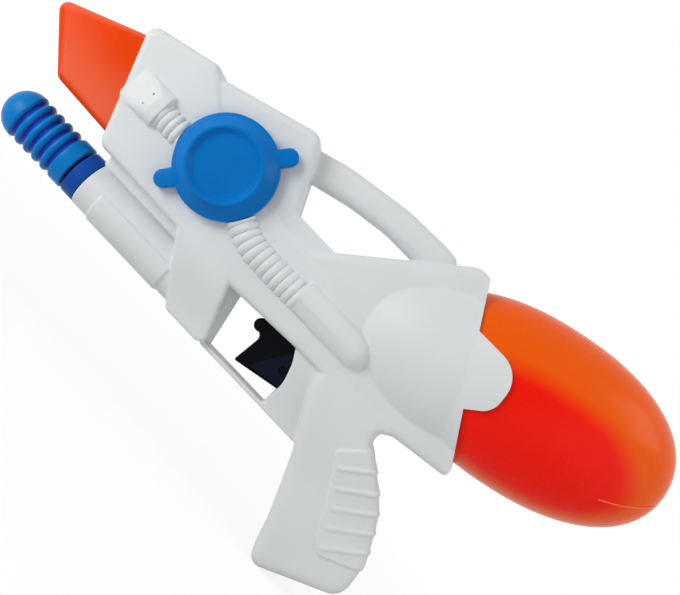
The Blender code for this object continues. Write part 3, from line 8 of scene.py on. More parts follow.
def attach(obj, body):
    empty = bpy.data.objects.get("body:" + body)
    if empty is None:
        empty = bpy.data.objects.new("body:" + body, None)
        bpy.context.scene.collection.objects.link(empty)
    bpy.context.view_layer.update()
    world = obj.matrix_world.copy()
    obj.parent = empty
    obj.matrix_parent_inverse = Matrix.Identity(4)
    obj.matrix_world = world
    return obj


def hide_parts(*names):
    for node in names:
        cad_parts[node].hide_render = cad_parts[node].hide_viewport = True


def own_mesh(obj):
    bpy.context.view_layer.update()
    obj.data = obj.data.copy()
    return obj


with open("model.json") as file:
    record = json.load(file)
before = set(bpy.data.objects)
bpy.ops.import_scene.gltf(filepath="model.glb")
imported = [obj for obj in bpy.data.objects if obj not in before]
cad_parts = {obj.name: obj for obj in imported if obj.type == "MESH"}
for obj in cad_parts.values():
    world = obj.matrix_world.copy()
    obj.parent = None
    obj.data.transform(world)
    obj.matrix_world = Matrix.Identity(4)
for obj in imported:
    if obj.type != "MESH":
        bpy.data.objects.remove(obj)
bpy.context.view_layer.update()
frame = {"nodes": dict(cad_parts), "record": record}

# Body shells
# Two hollow halves, injection-moulded in white ABS and screwed together from the right side.
# The outside is built up as one form from thick outlines, fused with soft edges,
# then split along the middle plane, hollowed, and trimmed where the tank and the muzzle come out.


def pick(*objects):
    """Selects only these objects and makes the first one active."""
    bpy.ops.object.select_all(action="DESELECT")
    for obj in objects:
        obj.select_set(True)
    bpy.context.view_layer.objects.active = objects[0]


def apply_modifiers(obj):
    """Applies all of a piece's modifiers in order."""
    pick(obj)
    for modifier in list(obj.modifiers):
        bpy.ops.object.modifier_apply(modifier=modifier.name)


def tidy_mesh(obj):
    """Merges doubles and turns all faces outwards."""
    pick(obj)
    bpy.ops.object.mode_set(mode="EDIT")
    bpy.ops.mesh.select_all(action="SELECT")
    bpy.ops.mesh.remove_doubles(threshold=1e-6)
    bpy.ops.mesh.normals_make_consistent(inside=False)
    bpy.ops.object.mode_set(mode="OBJECT")


def rounded(corners, inset=0.0, step=math.radians(9.0)):
    """Points of a closed outline with round corners, given as (x, z, radius), set in by a wall."""
    points = []
    count = len(corners)
    for index, (x, z, radius) in enumerate(corners):
        here = Vector((x, z))
        before = (here - Vector(corners[index - 1][:2])).normalized()
        after = (Vector(corners[(index + 1) % count][:2]) - here).normalized()
        left_before = Vector((-before.y, before.x))
        left_after = Vector((-after.y, after.x))
        corner = here + (left_before + left_after) * inset / (1.0 + left_before.dot(left_after))
        side = 1.0 if before.x * after.y - before.y * after.x > 0.0 else -1.0
        bend = math.acos(max(-1.0, min(1.0, before.dot(after))))
        turn = radius - side * inset
        if radius == 0.0 or turn < 1e-4:
            points.append(corner)
            continue
        start = corner - before * turn * math.tan(bend / 2.0)
        centre = start + left_before * turn * side
        steps = max(2, math.ceil(bend / step))
        for number in range(steps + 1):
            swing = Matrix.Rotation(side * bend * number / steps, 2)
            points.append(centre + swing @ (start - centre))
    return points


def thick_outline(name, points, half, rim=0.0, middle=0.0, rim_steps=4):
    """A flat outline in the side view, extruded across the body, with its rims rounded."""
    bpy.ops.object.select_all(action="DESELECT")
    bpy.ops.mesh.primitive_circle_add(vertices=len(points), fill_type="NGON")
    obj = bpy.context.object
    obj.name = name
    for vertex, point in zip(obj.data.vertices, points):
        vertex.co = (point.x, middle - half, point.y)
    bpy.ops.object.mode_set(mode="EDIT")
    bpy.ops.mesh.select_all(action="SELECT")
    bpy.ops.mesh.extrude_region_move(TRANSFORM_OT_translate={"value": (0.0, 2.0 * half, 0.0)})
    bpy.ops.object.mode_set(mode="OBJECT")
    tidy_mesh(obj)
    if rim > 0.0:
        bevel = obj.modifiers.new("rim", "BEVEL")
        bevel.width = rim
        bevel.segments = rim_steps
        bevel.limit_method = "ANGLE"
        bevel.angle_limit = math.radians(60.0)
        bevel.use_clamp_overlap = False
        apply_modifiers(obj)
    return obj


def flared(obj, low, high, share, slices=10):
    """Draws a form in across the body towards its lower end, with an easy curve between two heights."""
    pick(obj)
    for number in range(slices + 1):
        level = low + (high - low) * number / slices
        bpy.ops.object.mode_set(mode="EDIT")
        bpy.ops.mesh.select_all(action="SELECT")
        bpy.ops.mesh.bisect(plane_co=(0.0, 0.0, level), plane_no=(0.0, 0.0, 1.0))
        bpy.ops.object.mode_set(mode="OBJECT")
    for vertex in obj.data.vertices:
        up = max(0.0, min(1.0, (vertex.co.z - low) / (high - low)))
        vertex.co.y *= share + (1.0 - share) * up * up * (3.0 - 2.0 * up)
    return obj


def turned(name, corners, axis, origin, steps=64, angle_step=math.radians(15.0)):
    """A closed outline of (radius, height, corner radius), spun about an axis."""
    points = rounded(corners, 0.0, angle_step)
    bpy.ops.object.select_all(action="DESELECT")
    bpy.ops.mesh.primitive_circle_add(vertices=len(points), fill_type="NOTHING")
    obj = bpy.context.object
    obj.name = name
    for vertex, point in zip(obj.data.vertices, points):
        vertex.co = (max(point.x, 0.0), 0.0, point.y)
    bpy.ops.object.mode_set(mode="EDIT")
    bpy.ops.mesh.select_all(action="SELECT")
    bpy.ops.mesh.spin(steps=steps, angle=2.0 * math.pi, center=(0.0, 0.0, 0.0), axis=(0.0, 0.0, 1.0))
    bpy.ops.mesh.select_all(action="SELECT")
    bpy.ops.mesh.remove_doubles(threshold=1e-6)
    bpy.ops.mesh.dissolve_degenerate(threshold=1e-7)
    bpy.ops.mesh.normals_make_consistent(inside=False)
    bpy.ops.object.mode_set(mode="OBJECT")
    turn = Vector((0.0, 0.0, 1.0)).rotation_difference(Vector(axis)).to_matrix().to_4x4()
    obj.data.transform(Matrix.Translation(origin) @ turn)
    return obj


def rod(name, radius, low, high, axis, origin, steps=48):
    """A plain round bar between two distances along an axis, used as a cutter or a core."""
    corners = [(0.0, high, 0.0), (radius, high, 0.0), (radius, low, 0.0), (0.0, low, 0.0)]
    return turned(name, corners, axis, origin, steps)


def spanned(name, points):
    """The plain solid that eight points span."""
    bpy.ops.object.select_all(action="DESELECT")
    bpy.ops.mesh.primitive_cube_add()
    obj = bpy.context.object
    obj.name = name
    for vertex, point in zip(obj.data.vertices, points):
        vertex.co = point
    bpy.ops.object.mode_set(mode="EDIT")
    bpy.ops.mesh.select_all(action="SELECT")
    bpy.ops.mesh.convex_hull()
    bpy.ops.object.mode_set(mode="OBJECT")
    tidy_mesh(obj)
    return obj


def box_form(name, low, high):
    """A box between two corners."""
    low, high = Vector(low), Vector(high)
    bpy.ops.object.select_all(action="DESELECT")
    bpy.ops.mesh.primitive_cube_add(size=1.0)
    box = bpy.context.object
    box.name = name
    box.data.transform(Matrix.Translation((low + high) / 2.0) @ Matrix.Diagonal((*(high - low), 1.0)))
    return box


tank_centre = Vector((0.1355, 0.0, 0.1817))
tank_tilt = math.radians(13.3)
tank_axis = Vector((math.cos(tank_tilt), 0.0, math.sin(tank_tilt)))
tank_length = 0.0935
tank_radius = 0.0537
tank_half_width = 0.0460
tank_fullness = 2.24


def egg_form(name, grow, steps=96, rings=64):
    """The tank's swollen egg, narrower from side to side, grown by a clearance or a wall."""
    bpy.ops.object.select_all(action="DESELECT")
    bpy.ops.mesh.primitive_uv_sphere_add(segments=steps, ring_count=rings, radius=1.0)
    egg = bpy.context.object
    egg.name = name
    power = 2.0 / tank_fullness
    turn = Matrix.Translation(tank_centre) @ Matrix.Rotation(math.pi / 2.0 - tank_tilt, 4, "Y")
    for vertex in egg.data.vertices:
        x, y, z = vertex.co
        out = math.hypot(x, y)
        share = out ** power / out if out > 1e-9 else 0.0
        along = math.copysign(abs(z) ** power, z)
        vertex.co = turn @ Vector((x * share * (tank_radius + grow), y * share * (tank_half_width + grow),
                                   along * (tank_length + grow)))
    return egg


def cut(obj, cutter, operation="DIFFERENCE"):
    """One Boolean step, with the cutter removed after it."""
    step = obj.modifiers.new("cut", "BOOLEAN")
    step.operation = operation
    step.solver = "MANIFOLD"
    step.object = cutter
    apply_modifiers(obj)
    bpy.data.objects.remove(cutter, do_unlink=True)


def join(name, objects):
    """Joins pieces into one mesh."""
    pick(*objects)
    if len(objects) > 1:
        bpy.ops.object.join()
    obj = bpy.context.object
    obj.name = name
    return obj


def soften(obj, voxel, smoothing, keep):
    """Fuses overlapping forms into one skin with small fillets and thins out its mesh."""
    remesh = obj.modifiers.new("fuse", "REMESH")
    remesh.mode = "VOXEL"
    remesh.voxel_size = voxel
    smooth = obj.modifiers.new("soften", "SMOOTH")
    smooth.factor = 0.5
    smooth.iterations = smoothing
    thin = obj.modifiers.new("thin", "DECIMATE")
    thin.ratio = keep
    apply_modifiers(obj)


# Outlines in the side view, as x, z and corner radius.
front_outline = [(-0.1525, 0.1043, 0.0070), (-0.0480, 0.1043, 0.0062), (-0.0435, 0.1590, 0.0062),
                 (-0.0660, 0.2018, 0.0090), (-0.1300, 0.1823, 0.0030), (-0.1370, 0.1862, 0.0062),
                 (-0.1828, 0.1747, 0.0070)]
lower_outline = [(-0.1000, 0.1035, 0.0055), (-0.0436, 0.1022, 0.0300), (0.0140, 0.1056, 0.0300),
                 (0.0760, 0.1056, 0.0055), (0.0760, 0.1340, 0.0055), (0.0000, 0.1490, 0.0055),
                 (-0.1000, 0.1490, 0.0055)]
upper_outline = [(-0.0700, 0.1300, 0.0040), (0.0200, 0.1300, 0.0040), (0.0200, 0.1598, 0.0040),
                 (-0.0700, 0.1598, 0.0040)]
rear_outline = [(-0.0250, 0.1180, 0.0060), (0.0790, 0.1050, 0.0060), (0.0880, 0.1108, 0.0040),
                (0.1500, 0.1205, 0.0060), (0.1500, 0.1500, 0.0060), (0.0800, 0.2132, 0.0060),
                (0.0525, 0.2157, 0.0120), (-0.0250, 0.1492, 0.0060)]
grip_outline = [(0.0830, -0.0028, 0.0075), (0.1364, 0.0226, 0.0120), (0.1330, 0.0445, 0.0300),
                (0.1150, 0.0745, 0.0600), (0.0812, 0.1005, 0.0080), (0.0840, 0.1180, 0.0080),
                (0.0280, 0.1200, 0.0080), (0.0315, 0.0990, 0.0100), (0.0560, 0.0590, 0.0800),
                (0.0745, 0.0210, 0.0800)]
guard_outline = [(-0.0300, 0.0650, 0.0013), (0.0520, 0.0650, 0.0020), (0.0600, 0.0800, 0.0020),
                 (0.0450, 0.1085, 0.0020), (0.0095, 0.1085, 0.0013), (0.0170, 0.0975, 0.0200),
                 (0.0218, 0.0850, 0.0200), (0.0218, 0.0682, 0.0010), (-0.0300, 0.0682, 0.0013)]
leg_outline = [(-0.0585, 0.0652, 0.0060), (-0.0262, 0.0652, 0.0050), (-0.0415, 0.1040, 0.0060),
               (-0.0430, 0.1120, 0.0050), (-0.0920, 0.1120, 0.0060)]
handle_outline = [(-0.0620, 0.1760, 0.0068), (-0.0272, 0.1855, 0.0600), (0.0000, 0.1900, 0.0600),
                  (0.0330, 0.1905, 0.0068), (0.0520, 0.2090, 0.0068), (0.0319, 0.2113, 0.0500),
                  (0.0000, 0.2098, 0.0800), (-0.0430, 0.2024, 0.0800), (-0.0720, 0.1935, 0.0068)]
shroud_outline = [(-0.1993, 0.1130, 0.0060), (-0.1500, 0.1111, 0.0), (-0.1736, 0.1712, 0.0),
                  (-0.2325, 0.1462, 0.0055)]
plate_outline = [(-0.1525, 0.1043, 0.0070), (-0.0436, 0.1026, 0.0300), (0.0140, 0.1056, 0.0300),
                 (0.0400, 0.1056, 0.0060), (0.0400, 0.1350, 0.0060), (0.0000, 0.1494, 0.0100),
                 (-0.0902, 0.1494, 0.0030), (-0.1275, 0.1800, 0.0075), (-0.1370, 0.1862, 0.0075),
                 (-0.1828, 0.1747, 0.0095)]
# Half widths across the body, the wall, and the places and directions that forms share.
front_half = 0.0265
front_side_half = 0.0248
beam_half = 0.0250
upper_half = 0.0238
rear_half = 0.0258
grip_half = 0.0170
grip_half_at_top = 0.0260
grip_rim = 0.0065
guard_half = 0.0200
handle_half = 0.0100
leg_half = 0.0262
shroud_half = 0.0190
wall = 0.0024
split = 0.00015
cap_spot = Vector((-0.0902, 0.0, 0.1482))
pump_spot = Vector((0.0, 0.0, 0.0830))
to_muzzle = (-1.0, 0.0, 0.0)
to_right = (0.0, 1.0, 0.0)
to_left = (0.0, -1.0, 0.0)
housing_radius = 0.0156
housing_span = (0.0596, 0.1443)
web_box = ((-0.1440, -0.0140, 0.0976), (-0.0620, 0.0140, 0.1067))
grip_flare = {"low": 0.0500, "high": 0.1080, "share": grip_half / grip_half_at_top}

# The ridge down the back of the leg: x and z of its edge, and its half width
# at the depth where it meets the leg.
ridge_edge = ((-0.0245, 0.0668, 0.0110), (-0.0348, 0.1075, 0.0175))
ridge_nose_half = 0.0010
ridge_depth = 0.0160
leg_ridge = [(x - back, side * half, z) for x, z, broad in ridge_edge
             for back, half in ((0.0, ridge_nose_half), (ridge_depth, broad)) for side in (-1, 1)]
forms = [thick_outline("front_form", rounded(front_outline), front_side_half, rim=0.0050),
         thick_outline("lower_form", rounded(lower_outline), beam_half, rim=0.0035),
         thick_outline("upper_form", rounded(upper_outline), upper_half, rim=0.0012),
         thick_outline("rear_form", rounded(rear_outline), rear_half, rim=0.0050),
         flared(thick_outline("grip_form", rounded(grip_outline), grip_half_at_top, grip_rim), **grip_flare),
         flared(thick_outline("guard_form", rounded(guard_outline), guard_half, rim=0.0010),
                low=0.0680, high=0.1085, share=0.40),
         thick_outline("handle_form", rounded(handle_outline), handle_half, rim=0.0075, rim_steps=6),
         flared(thick_outline("leg_form", rounded(leg_outline), leg_half, rim=0.0025),
                low=0.0652, high=0.1075, share=0.56),
         spanned("leg_ridge", leg_ridge),
         egg_form("bulge_form", grow=0.0027),
         rod("housing_form", housing_radius, *housing_span, to_muzzle, pump_spot, steps=64),
         box_form("web_form", *web_box)]

# The bulge's fairing: an egg that eases the tank's swelling into the flat side.
fairing_centre = (0.0820, 0.0, 0.1640)
fairing_halves = (0.0710, 0.0430, 0.0500)
bpy.ops.object.select_all(action="DESELECT")
bpy.ops.mesh.primitive_uv_sphere_add(segments=72, ring_count=48, radius=1.0)
fairing = bpy.context.object
fairing.data.transform(Matrix.Translation(fairing_centre) @ Matrix.Rotation(-tank_tilt, 4, "Y")
                       @ Matrix.Diagonal((*fairing_halves, 1.0)))
forms.append(fairing)


def lofted(name, levels, side):
    """A raised form on one side of the body through outlines at growing distances from the middle plane."""
    points, reach = levels[0]
    bpy.ops.object.select_all(action="DESELECT")
    bpy.ops.mesh.primitive_circle_add(vertices=len(points), fill_type="NGON")
    obj = bpy.context.object
    obj.name = name
    for vertex, point in zip(obj.data.vertices, points):
        vertex.co = (point[0], side * reach, point[1])
    for (old, _), (points, reach) in zip(levels, levels[1:]):
        bpy.ops.object.mode_set(mode="EDIT")
        bpy.ops.mesh.extrude_region_move()
        bpy.ops.object.mode_set(mode="OBJECT")
        for vertex in [vertex for vertex in obj.data.vertices if vertex.select]:
            spot = Vector((vertex.co.x, vertex.co.z))
            index = min(range(len(old)), key=lambda number: (Vector(old[number]) - spot).length)
            vertex.co = (points[index][0], side * reach, points[index][1])
    tidy_mesh(obj)
    return obj


# The flat plate on each side, as insets of its outline and their reach from the middle plane.
plate_levels = ((0.0006, 0.0205), (0.0012, 0.0248), (0.0030, 0.0260), (0.0042, 0.0262))
for side in (-1, 1):
    levels = [(rounded(plate_outline, inset), reach) for inset, reach in plate_levels]
    forms.append(lofted(f"plate_{side}", levels, side))

# The moulded sleeve at the rear hose's end, and the hood at the front hose's:
# the hood's front end, half height, corner radius and reach from the middle plane.
sleeve_corners = [(0.0, 0.0095, 0.0), (0.0113, 0.0095, 0.0010), (0.0113, -0.0478, 0.0109),
                  (0.0, -0.0478, 0.0)]
sleeve_y = 0.0218
sleeve_z = 0.1290
hose_hood_levels = ((-0.1660, 0.0122, 0.0050, 0.0240), (-0.1640, 0.0118, 0.0050, 0.0262),
                    (-0.1560, 0.0108, 0.0050, 0.0290), (-0.1500, 0.0088, 0.0050, 0.0314),
                    (-0.1450, 0.0055, 0.0040, 0.0330))
hose_hood_back = -0.1385
hose_hood_z = 0.1435
for side in (-1, 1):
    sleeve_spot = (0.0, side * sleeve_y, sleeve_z)
    forms.append(turned(f"rear_sleeve_{side}", sleeve_corners, to_muzzle, sleeve_spot, steps=48))
    levels = []
    for front, height, radius, reach in hose_hood_levels:
        low, high = hose_hood_z - height, hose_hood_z + height
        corners = [(front, low, radius), (hose_hood_back, low, 0.0), (hose_hood_back, high, 0.0),
                   (front, high, radius)]
        levels.append((rounded(corners), reach))
    forms.append(lofted(f"front_hood_{side}", levels, side))

# The round disc on the right side, and the pump housing's raised lower panel.
disc_radius = 0.0311
disc_reach = 0.0295
panel_radius = 0.0167
panel_span = (0.0725, 0.1305)
panel_top = 0.0847
forms.append(rod("disc_form", disc_radius, 0.0, disc_reach, to_right, cap_spot, steps=96))
panel = rod("panel_form", panel_radius, *panel_span, to_muzzle, pump_spot, steps=64)
cut(panel, box_form("panel_cut", (-0.2, -0.05, panel_top), (0.0, 0.05, 0.2)))
forms.append(panel)

# The grip's panel and ribs, as pixels of the photograph along and across the barrel from its middle.
photo_x = 0.00825
photo_z = 0.1442
pixel_on_grip = 0.000584
panel_pixels = [(134, -78, 0.0), (130, -83, 0.0), (107, -107, 0.0025), (121, -124, 0.0200),
                (136, -146, 0.0400), (160, -184, 0.0040), (171, -193, 0.0040), (206, -177, 0.0),
                (225, -168, 0.0), (200, -100, 0.0)]
rib_pixels = (((123, -117), (154, -90)), ((137, -133), (173, -104)), ((149, -150), (188, -118)),
              ((158, -168), (201, -134)), ((169, -185), (212, -151)))
panel_rise = 0.0010
rib_rise = 0.0018
rib_half = 0.0010
across_grip = 0.05


def on_photo(u, v):
    """A spot of the grip's side from the photograph's pixels along and across the barrel."""
    return photo_x + pixel_on_grip * u, photo_z + pixel_on_grip * v


def on_grip(name, fields, rise):
    """Fields of the grip's side, raised all the way round its back edge."""
    half = (grip_half + rise) * grip_half_at_top / grip_half
    grown = flared(thick_outline(name, rounded(grip_outline, -rise), half, grip_rim), **grip_flare)
    cut(grown, join(name + "_fields", fields), "INTERSECT")
    return grown


def capsule_bar(name, start, end, half_width, half, rim):
    """A bar with round ends between two points of the side view."""
    a, b = Vector(start), Vector(end)
    along = (b - a).normalized() * half_width
    across = Vector((-along.y, along.x))
    corners = [a - along - across, b + along - across, b + along + across, a - along + across]
    return thick_outline(name, rounded([(*c, half_width * 0.98) for c in corners]), half, rim, rim_steps=3)


corners = [(*on_photo(u, v), radius) for u, v, radius in panel_pixels]
forms.append(on_grip("grip_panel", [thick_outline("panel_field", rounded(corners), across_grip)], panel_rise))
ribs = [capsule_bar(f"grip_rib_{start[0]}", on_photo(*start), on_photo(*end), rib_half, across_grip, rim=0.0)
        for start, end in rib_pixels]
forms.append(on_grip("grip_ribs", ribs, rib_rise))

body = join("body_form", forms)
soften(body, voxel=0.00075, smoothing=3, keep=0.36)

# The room inside, a wall's thickness within each form.
tank_gap = 0.0003
front_room_half = 0.0226
upper_room_half = 0.0196
leg_room_half = 0.0186
pump_room_radius = 0.0132
pump_room_span = (0.0572, 0.1488)
rooms = [thick_outline("front_room", rounded(front_outline, wall), front_room_half, rim=0.0026, rim_steps=2),
         thick_outline("lower_room", rounded(lower_outline, wall), beam_half - wall, rim=0.0011, rim_steps=1),
         thick_outline("upper_room", rounded(upper_outline, wall), upper_room_half, rim=0.0011, rim_steps=1),
         flared(thick_outline("grip_room", rounded(grip_outline, wall), grip_half_at_top - wall,
                              grip_rim - wall, rim_steps=2),
                grip_flare["low"], grip_flare["high"], (grip_half - wall) / (grip_half_at_top - wall)),
         thick_outline("handle_room", rounded(handle_outline, wall), handle_half - wall, rim=0.0036,
                       rim_steps=2),
         flared(thick_outline("leg_room", rounded(leg_outline, wall), leg_room_half, rim=0.0011),
                low=0.0652, high=0.1120, share=0.65),
         egg_form("tank_room", tank_gap, steps=64, rings=40),
         rod("pump_room", pump_room_radius, *pump_room_span, to_muzzle, pump_spot, steps=48)]

# The shells' rear edge: where its upper and lower runs would meet, how steep they are,
# how the edge leans back towards the middle plane, and the width of the solid ring along it.
seam_x = 0.0744
seam_z = 0.1881
seam_slope = -1.434
seam_taper = 0.19
seam_ring = 0.0070
beyond_tank = 0.2


def behind_seam(name, side, shift=0.0):
    """What lies behind the edge of a shell, round the tongue that laps over the tank."""
    x, z = seam_x + shift, seam_z
    outline = [(0.1080 + shift, z - 0.0850, 0.0), (x + beyond_tank, z - 0.0850, 0.0),
               (x + beyond_tank, z + 0.0750, 0.0), (x + 0.0750 / seam_slope, z + 0.0750, 0.0), (x, z, 0.0),
               (x + 0.0345, z - 0.0003, 0.0170), (x + 0.0385, z - 0.0261, 0.0120),
               (x - 0.0367 / seam_slope, z - 0.0367, 0.0), (0.1240 + shift, 0.1168, 0.0045),
               (0.1080 + shift, 0.1143, 0.0)]
    cutter = thick_outline(name, rounded(outline), tank_half_width, middle=side * (tank_half_width - 0.0003))
    for vertex in cutter.data.vertices:
        vertex.co.x += seam_taper * (tank_half_width - abs(vertex.co.y))
    return cutter


rear_room = thick_outline("rear_room", rounded(rear_outline, wall), rear_half - wall, rim=0.0026, rim_steps=2)
for side in (-1, 1):
    cut(rear_room, behind_seam(f"ring_{side}", side, -seam_ring))
rooms.append(rear_room)
room = join("body_room", rooms)
soften(room, voxel=0.0012, smoothing=2, keep=0.25)

# Each half gets the room, the rear edge, the trigger's slot and pocket, and the mouth for the shroud.
far_side = 0.2
trigger_slot = ((-0.0048, -0.0056, 0.0986), (0.0300, 0.0056, 0.1120))
trigger_pocket = ((0.0080, -0.0069, 0.0715), (0.0460, 0.0069, 0.1096))
shroud_gap = 0.0003
filler_radius = 0.0173
shells = {}
for side, name in ((-1, "shell_left"), (1, "shell_right")):
    pick(body)
    bpy.ops.object.duplicate()
    shell = bpy.context.object
    shell.name = name
    across = sorted((side * split, side * far_side))
    cut(shell, box_form(name + "_half", (-0.5, across[0], -0.5), (0.5, across[1], 0.5)), "INTERSECT")
    pick(room)
    bpy.ops.object.duplicate()
    cut(shell, bpy.context.object)
    cut(shell, behind_seam(name + "_seam", side))
    cut(shell, box_form(name + "_slot", *trigger_slot))
    cut(shell, box_form(name + "_pocket", *trigger_pocket))
    cut(shell, thick_outline(name + "_mouth", rounded(shroud_outline, -shroud_gap), shroud_half + shroud_gap,
                             rim=0.0062, rim_steps=6))
    shells[side] = shell
cut(shells[-1], rod("filler_mouth", filler_radius, 0.0160, 0.0800, to_left, cap_spot, steps=96))

# Screw bosses on the right half: x, z and the half width of the body there.
screws = ((-0.1500, 0.1730, front_half), (-0.0760, 0.1880, 0.0240), (-0.1300, 0.1125, front_half),
          (-0.0372, 0.0770, 0.0157), (0.0440, 0.2000, rear_half), (0.0660, 0.0830, 0.0222),
          (0.1030, 0.0320, grip_half), (0.0680, 0.1180, rear_half))
boss_radius = 0.0046
head_room = 0.0031
shank_room = 0.0016
bosses = [rod(f"boss_{x}", boss_radius, split, half - wall / 2.0, to_right, (x, 0.0, z), steps=32)
          for x, z, half in screws]
cut(shells[1], join("bosses", bosses), "UNION")
heads = [rod(f"head_room_{x}", head_room, 0.0080, 0.0600, to_right, (x, 0.0, z), steps=32)
         for x, z, _ in screws]
cut(shells[1], join("head_rooms", heads))
shanks = [rod(f"shank_room_{x}", shank_room, -0.0100, 0.0100, to_right, (x, 0.0, z), steps=24)
          for x, z, _ in screws]
cut(shells[1], join("shank_rooms", shanks))


def bent(corners, steps=8):
    """A smooth route through points of the side view."""
    points = []
    count = len(corners)
    for index in range(count - 1):
        around = [max(0, min(count - 1, index + shift)) for shift in (-1, 0, 1, 2)]
        before, here, there, after = [Vector(corners[number]) for number in around]
        slope = there - before
        bend = 2.0 * before - 5.0 * here + 4.0 * there - after
        twist = 3.0 * here - before - 3.0 * there + after
        for number in range(steps):
            t = number / steps
            points.append(0.5 * (2.0 * here + slope * t + bend * t * t + twist * t ** 3))
    return points + [Vector(corners[-1])]


def ribbed_hose(name, route, count, crest, groove, side_y):
    """A ribbed hose along points of the side view: one tube whose radius swells at each rib."""
    spots = [Vector((x, side_y, z)) for x, z in route]
    lengths = [0.0]
    for a, b in zip(spots, spots[1:]):
        lengths.append(lengths[-1] + (b - a).length)
    curve = bpy.data.curves.new(name, "CURVE")
    curve.dimensions = "3D"
    curve.bevel_depth = 1.0
    curve.bevel_resolution = 10
    curve.use_fill_caps = True
    rib_steps = 10
    spline = curve.splines.new("POLY")
    spline.points.add(count * rib_steps)
    for number, point in enumerate(spline.points):
        want = lengths[-1] * number / (count * rib_steps)
        index = max(i for i in range(len(spots) - 1) if lengths[i] <= want)
        share = (want - lengths[index]) / (lengths[index + 1] - lengths[index])
        point.co = (*spots[index].lerp(spots[index + 1], share), 1.0)
        swell = abs(math.sin(math.pi * number / rib_steps)) ** 0.6
        point.radius = groove + (crest - groove) * swell
    obj = bpy.data.objects.new(name, curve)
    bpy.context.scene.collection.objects.link(obj)
    pick(obj)
    bpy.ops.object.convert(target="MESH")
    tidy_mesh(obj)
    return obj


# The moulded hoses on both sides, trimmed round the cap, and the two dimples in each front hood.
rear_hose_route = bent([(-0.0700, 0.1365), (-0.0600, 0.1318), (-0.0500, 0.1285), (-0.0380, 0.1272),
                        (-0.0060, 0.1272)])
front_hose_route = bent([(-0.1400, 0.1425), (-0.1080, 0.1425)])
hose_back = 0.0236
cap_room = 0.0316
for side in (-1, 1):
    hoses = [ribbed_hose("rear_hose", rear_hose_route, count=13, crest=0.0094, groove=0.0080,
                         side_y=side * 0.0240),
             ribbed_hose("front_hose", front_hose_route, count=7, crest=0.0092, groove=0.0079,
                         side_y=side * 0.0232)]
    for hose in hoses:
        cut(hose, box_form("hose_back", (-0.2, -hose_back, 0.0), (0.1, hose_back, 0.3)))
        cut(hose, rod("cap_room", cap_room, 0.0100, 0.0800, (0.0, side, 0.0), cap_spot, steps=96))
        cut(shells[side], hose, "UNION")
dimple_spots = ((-0.1485, 0.1471), (-0.1490, 0.1390))
dimple_radius = 0.0007
dimple_floor = 0.0309
for side, name in ((-1, "left"), (1, "right")):
    dimples = [rod(f"dimple_{name}_{z}", dimple_radius, dimple_floor, 0.0400, (0.0, side, 0.0),
                   (x, 0.0, z), steps=20) for x, z in dimple_spots]
    cut(shells[side], join(f"dimples_{name}", dimples))
for helper in (body, room):
    bpy.data.objects.remove(helper, do_unlink=True)


def linear(code):
    """A colour given as sRGB hex, in linear light."""
    parts = [int(code[i:i + 2], 16) / 255.0 for i in (1, 3, 5)]
    return (*[c / 12.92 if c <= 0.04045 else ((c + 0.055) / 1.055) ** 2.4 for c in parts], 1.0)


def add(tree, kind, settings=None, links=None):
    """Adds a shader node with its settings and links."""
    node = tree.nodes.new(kind)
    for key, value in (settings or {}).items():
        if isinstance(key, str) and hasattr(node, key):
            setattr(node, key, value)
        else:
            node.inputs[key].default_value = value
    for key, socket in (links or {}).items():
        tree.links.new(socket, node.inputs[key])
    return node


def plastic(name, first, second, patch, roughness, spread, grain, relief, scatter=0.0, shine=0.5, tone=None):
    """A moulded plastic: slow drifts of tone, uneven gloss and a fine grain, with sizes in metres."""
    material = bpy.data.materials.new(name)
    material.use_nodes = True
    tree = material.node_tree
    shader = tree.nodes["Principled BSDF"]
    place = add(tree, "ShaderNodeTexCoord").outputs["Object"]
    drift = add(tree, "ShaderNodeTexNoise", {"Scale": 1.0 / patch, "Detail": 2.0}, {"Vector": place})
    share = tone(tree, place, drift.outputs["Fac"]) if tone else drift.outputs["Fac"]
    ramp = add(tree, "ShaderNodeValToRGB", links={"Fac": share})
    for stop, position, code in zip(ramp.color_ramp.elements, (0.3, 0.7), (first, second)):
        stop.position = position
        stop.color = linear(code)
    tree.links.new(ramp.outputs["Color"], shader.inputs["Base Color"])
    scuff = add(tree, "ShaderNodeTexNoise", {"Scale": 5.0 / patch, "Detail": 5.0}, {"Vector": place})
    gloss = add(tree, "ShaderNodeMapRange", {"From Min": 0.3, "From Max": 0.7, "To Min": roughness - spread,
                                             "To Max": roughness + spread}, {"Value": scuff.outputs["Fac"]})
    tree.links.new(gloss.outputs["Result"], shader.inputs["Roughness"])
    pits = add(tree, "ShaderNodeTexNoise", {"Scale": 1.0 / grain, "Detail": 2.0}, {"Vector": place})
    bump = add(tree, "ShaderNodeBump", {"Distance": relief, "Strength": 1.0}, {"Height": pits.outputs["Fac"]})
    tree.links.new(bump.outputs["Normal"], shader.inputs["Normal"])
    shader.inputs["Specular IOR Level"].default_value = shine
    if scatter > 0.0:
        shader.inputs["Subsurface Weight"].default_value = scatter
        shader.inputs["Subsurface Radius"].default_value = (1.0, 0.6, 0.4)
        shader.inputs["Subsurface Scale"].default_value = 0.002
    return material


def wear(obj, material):
    """Gives a piece its only material."""
    obj.data.materials.clear()
    obj.data.materials.append(material)


def smooth(obj, degrees):
    """Shades a piece smooth, apart from edges that turn by more than an angle."""
    pick(obj)
    bpy.ops.object.shade_smooth_by_angle(angle=math.radians(degrees))


